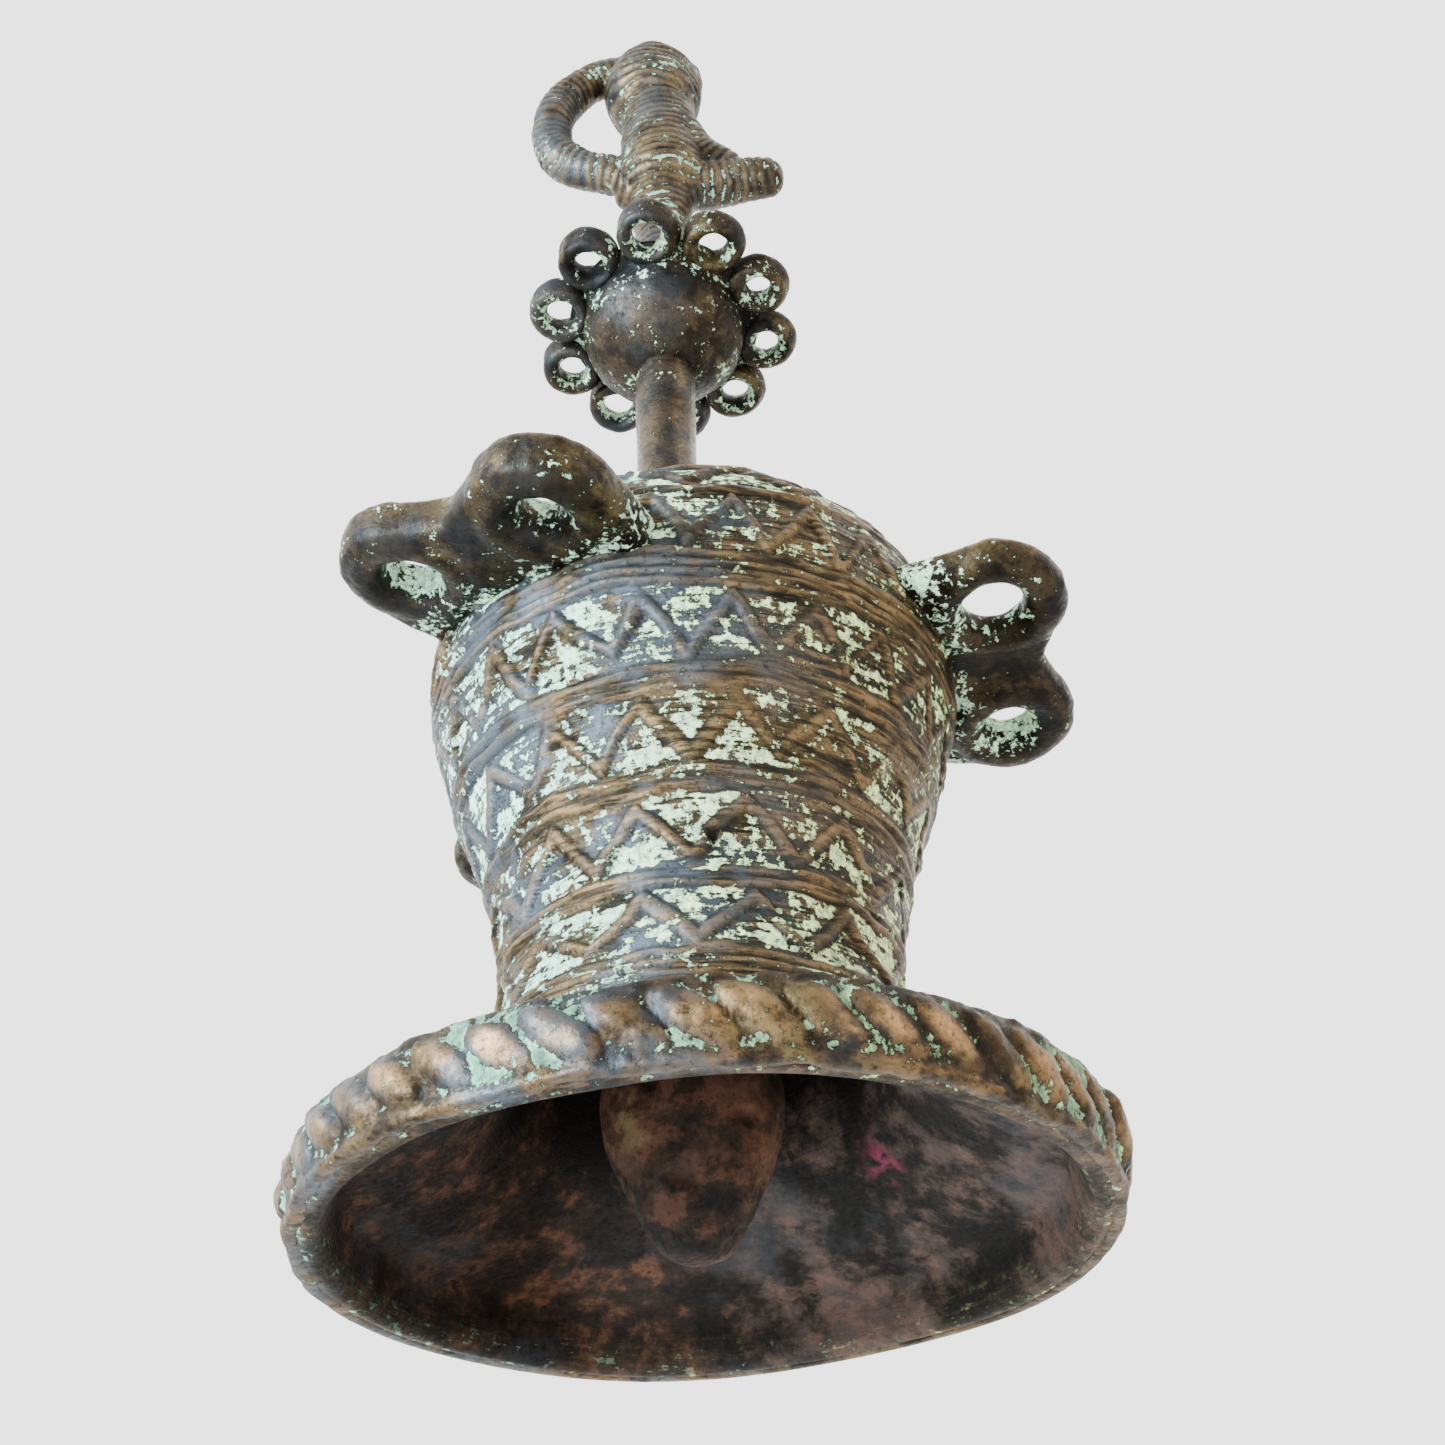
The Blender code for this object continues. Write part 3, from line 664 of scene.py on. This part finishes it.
def make_body():
    """The bell without its rope, lugs and handle: outer skin, lip and inner wall in one closed mesh."""
    outer = even_line(smooth_line(np.array(BODY_KEYS) * MM, 30), BODY_ROWS)
    skin, skin_masks = outer_skin(outer)
    lining = lining_skin(outer)
    whole = np.vstack([skin[1:], lining])
    whole[..., 2] += rim_wave(whole)
    top = skin[1, :, 2].mean() + 0.1 * MM
    ceiling = lining[-1, :, 2].mean()
    body = grid_mesh("bell_casting", whole, poles=[(AXIS.x, AXIS.y, top), (AXIS.x, AXIS.y, ceiling)])

    inner_masks = lining_masks(lining)
    no_skin = np.zeros(skin.shape[:2])
    no_lining = np.zeros(lining.shape[:2])
    masks = {}
    for name in ("patina", "rub", "shade", "inside", "stain"):
        outside = skin_masks.get(name, no_skin)[1:].ravel()
        lined = inner_masks.get(name, no_lining).ravel()
        masks[name] = np.concatenate([outside, lined, [0.0, 1.0 if name == "inside" else 0.0]])
    points = points_of(body)
    warm, cool = sides(points)
    # left marks the left side, where the inner wall is given painted shade.
    left = 1.0 - ramp(points[:, 0] - AXIS.x, -26 * MM, -8 * MM)
    paint(body, warm=warm, cool=cool, left=left, **masks)
    return body


# ---- rim rope -------------------------------------------------------------------------------
ROPE_BEADS = 46
ROPE_RADIUS = 45.0 * MM
ROPE_MIDDLE = 4.55 * MM
ROPE_HALF_HEIGHT = 4.5 * MM
ROPE_HALF_DEPTH = 1.35 * MM
BEAD_MIDDLE = 4.7 * MM
BEAD_HALF = 3.3 * MM
BEAD_SLANT = 0.85


def make_rope():
    """A flat-sided ring round the lip whose outer side is a row of slanting beads over a narrow strip."""
    cols = ROPE_BEADS * 18
    rows = 40
    turn = np.linspace(0.0, 2 * math.pi, cols, endpoint=False) - math.pi
    cut = np.linspace(0.0, 2 * math.pi, rows, endpoint=False)[::-1, None]
    height = ROPE_MIDDLE + ROPE_HALF_HEIGHT * np.sin(cut)
    depth = ROPE_HALF_DEPTH * np.sign(np.cos(cut)) * np.abs(np.cos(cut)) ** 0.45
    outer = ramp(depth, -0.2 * MM, 1.0 * MM)
    band = (height - BEAD_MIDDLE) / BEAD_HALF

    pitch = 2 * math.pi * ROPE_RADIUS / ROPE_BEADS
    travel = turn[None] * ROPE_RADIUS + BEAD_SLANT * BEAD_HALF * band
    number = np.floor(travel / pitch + 0.5)
    across = travel / pitch - number
    pick = np.random.default_rng(5).uniform(-1.0, 1.0, ROPE_BEADS + 1)
    wander = pick[number.astype(int) % ROPE_BEADS]
    bead = np.sqrt(np.clip(1.0 - (across / (0.47 + 0.02 * wander)) ** 2 - (band * 0.98) ** 2, 0.0, 1.0))
    bulge = outer * bead * (0.95 + 0.3 * wander) * MM
    strip = outer * (1.0 - ramp(band, -1.35, -0.95)) * 0.35 * MM
    reach = LIP_OUTER + 0.95 * MM + depth + bulge + strip - 0.35 * MM * outer
    grid = np.stack([AXIS.x + reach * np.sin(turn), AXIS.y - reach * np.cos(turn),
                     np.broadcast_to(height, reach.shape)], -1)
    rough = 0.42 * MM * FINE.rough(grid, 2.4 * MM, 3) + 0.4 * MM * SOFT.rough(grid, 7 * MM, 2)
    grid[..., 0] += rough * np.sin(turn)
    grid[..., 1] -= rough * np.cos(turn)
    grid[..., 2] += 0.4 * rough + rim_wave(grid)
    rope = grid_mesh("rope_border", grid, wrap_rows=True)
    blot = BLOT.rough(grid, 6 * MM, 3)
    groove = outer * (1.0 - ramp(bead, 0.1, 0.55)) * ramp(band, -1.25, -0.8)
    patina = np.clip(groove * (0.48 + 0.75 * blot) * (1.0 - 0.4 * ramp(band, 0.8, 1.1)), 0.0, 1.0)
    rub = ramp(bead, 0.55, 1.0) * outer * (0.2 + 0.7 * ramp(BLOT.rough(grid, 5 * MM, 2), -0.4, 0.4))
    warm, cool = sides(points_of(rope))
    # Painted shade in the gaps between the beads, above the strip.
    crevice = 0.55 * outer * (1.0 - ramp(bead, 0.0, 0.35)) * ramp(band, -1.25, -0.8)
    paint(rope, patina=patina.ravel(), rub=rub.ravel(), warm=warm, cool=cool, shade=crevice.ravel())
    return rope


# ---- lugs -----------------------------------------------------------------------------------
# Angle round the bell and lean about the lug's own axis in degrees, lift in mm, radius of the first
# (-Y) and second (+Y) eye in mm, plate thickness as a share of the CAD's.
LUGS = {
    "lug_left": (-37.0, -8.0, -2.4, (3.2, 3.0), 1.05),
    "lug_right": (80.5, -4.0, -3.8, (3.9, 2.9), 0.6),
    "lug_back": (-155.0, 0.0, -5.0, (3.5, 3.5), 0.8),
}
CAD_TURN = {"lug_left": -37.0, "lug_right": 85.0, "lug_back": -157.0}

# In a lug's own frame X runs out from the bell's axis: its mid height, eyes, rings and foot.
LUG_HEIGHT = 80.0 * MM
EYE_CENTRE = 40.8 * MM
EYE_SPACING = 10.9 * MM
EYE_REGION = 5.0 * MM
RING_SPAN = 9.2 * MM
LUG_FOOT = 38.0 * MM


def lug_frame(degrees):
    """From a lug's own frame to the bell's."""
    return Matrix.Translation(AXIS) @ Matrix.Rotation(math.radians(degrees - 90.0), 4, "Z")


def make_lug(name, degrees, lean, lift, eye_radii, thickness):
    """The CAD's plate with two thick rings laid into it, melted together."""
    turn = lug_frame(degrees)
    lifted = Matrix.Translation((0.0, 0.0, LUG_HEIGHT + lift * MM))
    leaned = Matrix.Rotation(math.radians(lean), 4, "X") @ Matrix.Translation((0.0, 0.0, -LUG_HEIGHT))
    plate = new_object("plate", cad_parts[name].data.copy())
    plate.data.transform(lug_frame(CAD_TURN[name]).inverted())
    points = points_of(plate)
    points[:, 2] = LUG_HEIGHT + (points[:, 2] - LUG_HEIGHT) * thickness
    foot = points[:, 0] < LUG_FOOT
    points[foot, 0] -= 1.2 * MM * ramp(LUG_FOOT - points[foot, 0], 0.0, 8 * MM)
    rings = []
    for side, eye_radius in ((-1, eye_radii[0] * MM), (1, eye_radii[1] * MM)):
        away = points[:, :2] - np.array([EYE_CENTRE, side * EYE_SPACING])
        far = np.hypot(away[:, 0], away[:, 1])[:, None]
        wider = np.where(far < EYE_REGION, np.maximum(eye_radius + 0.4 * MM - far, 0.0), 0.0)
        points[:, :2] += away / far * wider
        wire = (RING_SPAN - eye_radius) / 2
        place = Matrix.Translation((EYE_CENTRE, side * EYE_SPACING, LUG_HEIGHT))
        rings.append(ring_mesh("eye", eye_radius + wire, wire, place, squash=0.7 + 0.55 * thickness))
    move_points(plate, points)
    lug = fused(name + "_cast", [plate] + rings, 0.42 * MM, 9)
    lug.data.transform(turn @ lifted @ leaned)
    points = points_of(lug)
    points = swell(lug, (0.55 * SOFT.rough(points, 9 * MM, 2) + 0.22 * FINE.rough(points, 2.5 * MM, 3)) * MM)
    local = (points - np.array(AXIS)) @ np.array(turn.to_3x3())
    eye = np.minimum(*[np.hypot(local[:, 0] - EYE_CENTRE, local[:, 1] - side * EYE_SPACING)
                       for side in (1, -1)])
    hollow = 1.0 - ramp(eye, 0.95 * eye_radii[0] * MM, 1.5 * eye_radii[0] * MM)
    root = 1.0 - ramp(local[:, 0], 33 * MM, LUG_FOOT)
    blot = BLOT.rough(points, 5 * MM, 3)
    patina = np.clip((0.60 * hollow + 0.46 * root + 0.06) * (0.9 + 0.9 * blot), 0.0, 1.0)
    # On the lugs the rub colour is partly wear and partly a painted highlight on the rims that face up.
    rub = ramp(eye, 5.0 * MM, 8.5 * MM) * ramp(normals_of(lug)[:, 2], -0.25, 0.7)
    warm, cool = sides(points)
    paint(lug, patina=patina, rub=rub, warm=0.25 * warm, cool=cool, shade=0.0)
    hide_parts(name)
    return lug


# ---- handle ---------------------------------------------------------------------------------
# The handle stands a little to the left of the bell's axis, and its rosette's front edge is raised.
HANDLE = (AXIS.x - 3.0 * MM, AXIS.y)
ROSETTE = Vector((HANDLE[0], HANDLE[1], 153.0 * MM))
ROSETTE_TILT = Matrix.Rotation(-math.radians(8.5), 4, "X")
CAP_RADIUS = 12.7
CAP_DEPTH = 11.2
PETALS = 10
FIRST_PETAL = -6.0
PETAL_CIRCLE = 16.5 * MM


def make_stem():
    """Round stem that flares into the crown."""
    keys = [
        (0.0, 142.0), (3.4, 141.9), (4.5, 141.0), (4.5, 132.0), (4.35, 122.0), (4.5, 112.0),
        (5.1, 106.5), (7.2, 102.6), (9.8, 100.7), (9.0, 99.6), (0.0, 99.5),
    ]
    stem = turned_mesh("stem_bar", keys, 150, 96, HANDLE)
    points = points_of(stem)
    drawn = FINE.rough(points * (1.0, 1.0, 0.3), 2.5 * MM, 2)
    swell(stem, (0.3 * SOFT.rough(points, 14 * MM, 2) + 0.08 * drawn) * MM)
    low = 1.0 - ramp(points[:, 2], 101 * MM, 106 * MM)
    patina = np.clip(low * (0.5 + 0.7 * BLOT.rough(points, 4 * MM, 3)), 0.0, 1.0)
    paint(stem, patina=patina, rub=0.55, warm=0.5, cool=sides(points)[1], shade=0.0)
    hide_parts("handle_stem")
    return stem


def make_cap():
    """Mushroom cap with a thin web that the petals sit on."""
    web = [(0.0, 6.0), (5.0, 5.6), (9.5, 3.4), (12.8, 1.7), (14.7, 0.9), (14.9, 0.0), (13.8, -0.8)]
    ball = [(CAP_RADIUS * math.cos(a), -1.6 - CAP_DEPTH * math.sin(a))
            for a in np.linspace(0.06, math.pi / 2, 10)[:-1]]
    cap = turned_mesh("cap_cast", web + ball + [(0.0, -12.9)], 110, 120, (0.0, 0.0))
    cap.data.transform(Matrix.Translation(ROSETTE) @ ROSETTE_TILT)
    points = points_of(cap)
    swell(cap, (0.35 * SOFT.rough(points, 8 * MM, 2) + 0.24 * FINE.rough(points, 2.2 * MM, 3)) * MM)
    edge = ramp(np.hypot(points[:, 0] - HANDLE[0], points[:, 1] - HANDLE[1]), 11.0 * MM, 13.4 * MM)
    patina = np.clip(0.09 + 0.20 * edge + 0.35 * BLOT.rough(points, 3 * MM, 3), 0.0, 1.0)
    paint(cap, patina=patina, rub=0.25 * (1 - edge), warm=0.2, cool=sides(points)[1], shade=0.0)
    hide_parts("mushroom_cap")
    return cap


def make_petal(index):
    """One ring of the rosette, coiled from wax thread."""
    turn = math.radians(FIRST_PETAL + 360.0 * index / PETALS)
    outward = Matrix.Translation((PETAL_CIRCLE * math.sin(turn), -PETAL_CIRCLE * math.cos(turn), 0.0))
    pick = np.random.default_rng(100 + index).uniform(-1.0, 1.0, 3)
    radius = (3.45 + 0.12 * pick[0]) * MM
    wire = (1.4 + 0.08 * pick[1]) * MM
    wobble = Matrix.Rotation(math.radians(5) * pick[2], 4, "X")
    ring = ring_mesh(f"petal_{index + 1:02d}", radius, wire, Matrix.Identity(4), 72, 32, 1.75)
    points = points_of(ring)
    away = np.hypot(points[:, 0], points[:, 1])
    coil = np.arctan2(points[:, 1], points[:, 0])
    seam = 0.14 * np.cos(points[:, 2] / (0.62 * MM) + coil) * ramp(away, 3.4 * MM, 4.4 * MM)
    lump = 0.26 * SOFT.rough(points + index, 4 * MM, 2) + 0.12 * FINE.rough(points + index, 1.5 * MM, 2)
    swell(ring, (seam + lump) * MM)
    ring.data.transform(Matrix.Translation(ROSETTE) @ ROSETTE_TILT @ outward @ wobble)
    spots = points_of(ring)
    blot = BLOT.rough(spots, 3 * MM, 3)
    inner = 1.0 - ramp(away, 2.6 * MM, 3.8 * MM)
    patina = np.clip(inner * (0.44 + 0.6 * blot) + 0.04, 0.0, 1.0)
    rub = ramp(normals_of(ring)[:, 2], 0.0, 0.9) * 0.8 + 0.1
    paint(ring, patina=patina, rub=rub, warm=0.3, cool=sides(spots)[1], shade=0.0)
    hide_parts(f"rosette_ring_{index + 1:02d}")
    return ring


# Skeleton of the finial: name, points (x, z) in mm from the bell's axis, radius in mm at each point.
FINIAL = {
    "neck": ([(-3, 156), (-3, 165), (-3, 176), (-3, 185)], [6.6, 4.6, 4.5, 5.6]),
    "foot": ([(-8, 189.0), (-3, 188.4), (4, 189.0), (10, 189.9), (15.4, 190.4)], [4.0, 4.4, 4.2, 3.7, 3.4]),
    "column": ([(-2.6, 190), (-2.8, 198), (-3.2, 206), (-3.6, 213)], [7.6, 7.2, 6.7, 6.4]),
    "shoulder": ([(0.0, 200.5), (3.5, 196.0), (8.0, 192.6)], [5.6, 4.6, 3.7]),
    "head": ([(-4.4, 215.0), (-3.8, 218.6)], [8.7, 8.3]),
    "brow": ([(-9.5, 219.5), (-4.0, 222.0), (1.0, 219.0)], [3.2, 5.4, 4.4]),
    "loop": ([(-8.6, 223.4), (-13.0, 222.4), (-17.6, 218.6), (-21.2, 212.4), (-22.3, 205.5),
              (-20.9, 199.2), (-16.6, 194.8), (-11.6, 193.0), (-7.0, 192.4)],
             [3.1, 3.3, 3.4, 3.5, 3.5, 3.5, 3.4, 3.4, 3.4]),
}
FINIAL_PITCH = 1.6 * MM


def make_finial():
    """The looped figure on top, melted together, with wound threads that follow each limb."""
    sources = []
    limbs = []
    for name, (spots, radii) in FINIAL.items():
        keys = [(x * MM, 0.0, z * MM) for x, z in spots]
        line = smooth_line(keys, 10)
        grown = np.interp(np.linspace(0, len(radii) - 1, len(line)), range(len(radii)), radii) * MM
        line = line + np.array([AXIS.x, AXIS.y, 0.0])
        sources.append(bar_mesh(name, line, grown))
        limbs.append((name, line, grown))
    finial = fused("finial_cast", sources, 0.36 * MM, 6)
    points = points_of(finial)
    best = np.full(len(points), 9.0)
    phase = np.zeros(len(points))
    depth = np.zeros(len(points))
    start = 0.0
    for name, line, grown in limbs:
        along = lengths_along(line) + start
        start += along[-1] + 7 * MM
        gap = np.linalg.norm(points[:, None] - line[None], axis=2) / grown[None]
        near = gap.argmin(1)
        ratio = gap[np.arange(len(points)), near]
        step = np.gradient(line, axis=0)
        step /= np.linalg.norm(step, axis=1)[:, None]
        offset = np.einsum("ij,ij->i", points - line[near], step[near])
        closer = ratio < best
        best[closer] = ratio[closer]
        phase[closer] = (along[near] + offset)[closer]
        depth[closer] = 0.5 if name == "neck" else 1.0
    wander = 0.9 * SOFT.rough(points, 6 * MM, 2)
    turns = np.abs(np.sin(math.pi * (phase / FINIAL_PITCH + wander)))
    strong = 0.3 + 0.7 * ramp(BLOT.at(points, 7 * MM), -0.5, 0.4)
    wound = 0.34 * (turns - 0.6) * depth * strong
    lump = 0.4 * SOFT.rough(points, 6 * MM, 3) + 0.14 * FINE.rough(points, 1.8 * MM, 3)
    swell(finial, (wound + lump) * MM)
    groove = 1.0 - ramp(turns, 0.15, 0.6)
    blot = BLOT.rough(points, 5 * MM, 3)
    patina = np.clip(groove * (0.34 + 0.75 * blot) + 0.22 * ramp(blot, 0.1, 0.6), 0.0, 1.0)
    rub = 0.75 * ramp(turns, 0.5, 1.0)
    paint(finial, patina=patina, rub=rub, warm=0.5, cool=sides(points)[1], shade=0.0)
    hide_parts("finial_neck", "finial_foot", "finial_column", "finial_head", "finial_loop")
    return finial


# ---- clapper --------------------------------------------------------------------------------
link_low, link_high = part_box("clapper_link")
HANG = Vector(((link_low.x + link_high.x) / 2, (link_low.y + link_high.y) / 2, 0.0))
LINK_CENTRE = (link_low.z + link_high.z) / 2
CLAPPER_KEYS = [
    (0.0, 73.2), (2.6, 72.4), (2.8, 60.0), (4.4, 47.0), (7.8, 33.5), (10.4, 21.5),
    (9.7, 14.0), (7.0, 7.5), (4.4, 3.0), (2.2, 1.5), (0.0, 1.3),
]
CLAPPER_EYE_HEIGHT = 76.2 * MM
CLAPPER_EYE_RADIUS = 4.2 * MM
CLAPPER_EYE_WIRE = 1.2 * MM
LINK_RADIUS = 5.2 * MM
LINK_WIRE = 1.1 * MM
STAPLE_TOP = 96.5 * MM
STAPLE_BEND = 93.0 * MM
STAPLE_LOW = 85.5 * MM
STAPLE_RADIUS = 4.5 * MM
STAPLE_WIRE = 1.3 * MM


def make_clapper():
    """Pestle with an eye on top, its bulb dented and pitted."""
    pestle = turned_mesh("pestle", CLAPPER_KEYS, 90, 64, (HANG.x, HANG.y))
    upright = Matrix.Rotation(math.pi / 2, 4, "X")
    eye_place = Matrix.Translation((HANG.x, HANG.y, CLAPPER_EYE_HEIGHT)) @ upright
    eyelet = ring_mesh("eyelet", CLAPPER_EYE_RADIUS, CLAPPER_EYE_WIRE, eye_place)
    clapper = fused("clapper_cast", [pestle, eyelet], 0.38 * MM, 2)
    points = points_of(clapper)
    bulb = 1.0 - ramp(points[:, 2], 40 * MM, 62 * MM)
    dents = SOFT.rough(points, 9 * MM, 3)
    pits = -ramp(BLOT.rough(points, 4.2 * MM, 2), 0.22, 0.6)
    push = (0.65 * dents + 0.95 * pits + 0.25 * FINE.rough(points, 2.4 * MM, 3)) * bulb * MM
    push *= ramp(points[:, 2], 0.0, 3.0 * MM) * 0.8 + 0.2
    swell(clapper, push)
    # Painted shade darkens the pits of the bulb.
    paint(clapper, patina=-1.0, rub=0.35 * ramp(dents, -0.1, 0.5), warm=0.5, cool=0.3,
          shade=np.clip(-pits * 0.7, 0.0, 1.0))
    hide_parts("clapper")
    return clapper


def make_link():
    """Round link that the clapper hangs from."""
    place = Matrix.Translation((HANG.x, HANG.y, LINK_CENTRE)) @ Matrix.Rotation(math.pi / 2, 4, "Y")
    link = ring_mesh("hanging_link", LINK_RADIUS, LINK_WIRE, place, 72, 20)
    swell(link, 0.1 * FINE.rough(points_of(link), 2 * MM, 2) * MM)
    # Painted shade darkens the whole link, which hangs inside the crown.
    paint(link, patina=-1.0, rub=0.4, warm=0.5, cool=0.3, shade=0.3)
    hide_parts("clapper_link")
    return link


def make_staple():
    """U of wire cast into the crown, open side up."""
    line = [(-STAPLE_RADIUS, 0.0, STAPLE_TOP), (-STAPLE_RADIUS, 0.0, STAPLE_BEND)]
    line += [(STAPLE_RADIUS * math.cos(a), 0.0, STAPLE_LOW + STAPLE_RADIUS + STAPLE_RADIUS * math.sin(a))
             for a in np.linspace(math.pi, 2 * math.pi, 19)]
    line += [(STAPLE_RADIUS, 0.0, STAPLE_BEND), (STAPLE_RADIUS, 0.0, STAPLE_TOP)]
    line = np.array(line) + np.array([HANG.x, HANG.y, 0.0])
    staple = bar_mesh("staple_bar", line, [STAPLE_WIRE] * len(line), 24)
    swell(staple, 0.1 * FINE.rough(points_of(staple), 2 * MM, 2) * MM)
    # Painted shade darkens the whole staple inside the crown.
    paint(staple, patina=-1.0, rub=0.2, warm=0.5, cool=0.3, shade=0.4)
    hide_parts("crown_staple")
    return staple


# ---- put together ---------------------------------------------------------------------------
body_bronze = bronze("aged_bronze", (0.007, 0.006, 0.003), (0.046, 0.033, 0.014), (0.26, 0.155, 0.068),
                     1.3 * MM, cool=1.0, lines=0.65, inner_wall=True)
rope_bronze = bronze("rope_bronze", (0.014, 0.009, 0.005), (0.085, 0.050, 0.022), (0.36, 0.205, 0.085),
                     1.4 * MM, patina=TURQUOISE, patina_far=LEAF, striations=False, cool=0.7)
lug_bronze = bronze("lug_bronze", (0.005, 0.003, 0.002), (0.020, 0.013, 0.006), (0.17, 0.110, 0.042),
                    1.0 * MM, striations=False, cool=0.1, roughness=0.42, lines=0.2)
stem_bronze = bronze("stem_bronze", (0.016, 0.011, 0.007), (0.070, 0.050, 0.030), (0.20, 0.140, 0.080),
                     1.4 * MM, striations=False, cool=0.6, roughness=0.28, metallic=0.9)
rosette_bronze = bronze("rosette_bronze", (0.004, 0.003, 0.002), (0.013, 0.008, 0.005),
                        (0.09, 0.055, 0.025), 0.9 * MM, striations=False, cool=0.25, roughness=0.46)
finial_bronze = bronze("finial_bronze", (0.012, 0.009, 0.006), (0.052, 0.037, 0.023), (0.17, 0.115, 0.060),
                       1.0 * MM, striations=False, cool=0.6, patina=FINIAL_GREEN, patina_far=FINIAL_GREEN)
iron = bronze("clapper_iron", (0.004, 0.003, 0.002), (0.024, 0.011, 0.006), (0.15, 0.058, 0.030), 2.0 * MM,
              striations=False, metallic=0.05, cool=0.0, roughness=0.78)

body = dress(make_body(), body_bronze)
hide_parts("bell_body", *[f"thread_band_{k}" for k in range(1, 5)],
            *[f"zigzag_wire_{k}" for k in range(1, 5)])
rope = dress(make_rope(), rope_bronze)
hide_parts("rim_rope")
for piece, slot in ((body, "body_bronze"), (rope, "rope_bronze")):
    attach(piece, BELL)

for lug_name, lug_shape in LUGS.items():
    lug_piece = dress(make_lug(lug_name, *lug_shape), lug_bronze)
    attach(lug_piece, BELL)

for piece, material, slot in ((make_stem(), stem_bronze, "stem_bronze"),
                              (make_cap(), rosette_bronze, "rosette_bronze"),
                              (make_finial(), finial_bronze, "finial_bronze"),
                              (make_staple(), iron, "staple_bronze")):
    dress(piece, material)
    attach(piece, BELL)

for petal_index in range(PETALS):
    petal = dress(make_petal(petal_index), rosette_bronze)
    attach(petal, BELL)

link_piece = dress(make_link(), iron)
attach(link_piece, "link")
clapper_piece = dress(make_clapper(), iron)
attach(clapper_piece, "clapper")


# ---- stage ----------------------------------------------------------------------------------
# The photo's camera looks up from below the mouth, so the floor lies well below the bell.
FLOOR_HEIGHT = -0.10
CAMERA_DISTANCE = 188.5 * MM
CAMERA_DEPTH = 72.5 * MM
CAMERA_ASIDE = 3.74 * MM
CAMERA_PITCH = math.radians(37.6)
CAMERA_ROLL = math.radians(-2.3)
CAMERA_LENS = 44.844
LIGHT_TARGET = Vector((0.0, 0.0, 0.09))
WORLD_BRIGHT_SIDE = (-0.15, 0.78, 0.61)
WORLD_DIM = 0.36
WORLD_BRIGHT = 3.0


def make_floor():
    bpy.ops.mesh.primitive_plane_add(size=40.0, location=(0.0, 0.0, FLOOR_HEIGHT))
    floor = bpy.context.object
    floor.name = "floor"
    s = Shader("pale_floor")
    pale = s.mix(s.noise(0.4, 3.0), (0.80, 0.80, 0.79), (0.84, 0.84, 0.83))
    s.links.new(pale, s.surface.inputs["Base Color"])
    s.surface.inputs["Roughness"].default_value = 0.9
    dress(floor, s.material)


def make_light(name, spot, size, power, colour):
    """Round area lamp at a spot, aimed at the bell."""
    lamp = bpy.data.lights.new(name, "AREA")
    lamp.shape = "DISK"
    lamp.size = size
    lamp.energy = power
    lamp.color = colour
    obj = bpy.data.objects.new(name, lamp)
    obj.location = spot
    aim = LIGHT_TARGET - Vector(spot)
    obj.rotation_euler = aim.to_track_quat("-Z", "Y").to_euler()
    bpy.context.scene.collection.objects.link(obj)


def make_camera():
    """Camera below and in front of the mouth, looking up at the bell."""
    data = bpy.data.cameras.new("camera")
    data.sensor_width = 36.0
    data.lens = CAMERA_LENS
    data.clip_start = 0.01
    camera = bpy.data.objects.new("camera", data)
    camera.location = AXIS + Vector((CAMERA_ASIDE, -CAMERA_DISTANCE, -CAMERA_DEPTH))
    aim = Vector((0.0, math.cos(CAMERA_PITCH), math.sin(CAMERA_PITCH)))
    roll = Matrix.Rotation(CAMERA_ROLL, 3, "Z").to_quaternion()
    camera.rotation_mode = "QUATERNION"
    camera.rotation_quaternion = aim.to_track_quat("-Z", "Y") @ roll
    bpy.context.scene.collection.objects.link(camera)
    bpy.context.scene.camera = camera


def make_world():
    """Soft studio surround, brightest high behind the bell."""
    world = bpy.data.worlds.new("studio")
    world.use_nodes = True
    nodes = world.node_tree.nodes
    links = world.node_tree.links
    aim = nodes.new("ShaderNodeTexCoord").outputs["Generated"]
    facing = nodes.new("ShaderNodeVectorMath")
    facing.operation = "DOT_PRODUCT"
    links.new(aim, facing.inputs[0])
    facing.inputs[1].default_value = WORLD_BRIGHT_SIDE
    glow = nodes.new("ShaderNodeMapRange")
    glow.interpolation_type = "SMOOTHSTEP"
    links.new(facing.outputs["Value"], glow.inputs["Value"])
    glow.inputs["From Min"].default_value = -0.1
    glow.inputs["From Max"].default_value = 0.78
    glow.inputs["To Min"].default_value = WORLD_DIM
    glow.inputs["To Max"].default_value = WORLD_BRIGHT
    links.new(glow.outputs["Result"], nodes["Background"].inputs["Strength"])
    nodes["Background"].inputs["Color"].default_value = (1.0, 1.0, 1.0, 1.0)
    bpy.context.scene.world = world


make_floor()
make_world()
make_light("window", (-0.48, -0.38, 0.16), 0.26, 18.0, (0.74, 0.88, 1.0))
make_light("lamp", (0.5, -0.30, 0.34), 0.4, 3.0, (1.0, 0.92, 0.78))
make_camera()
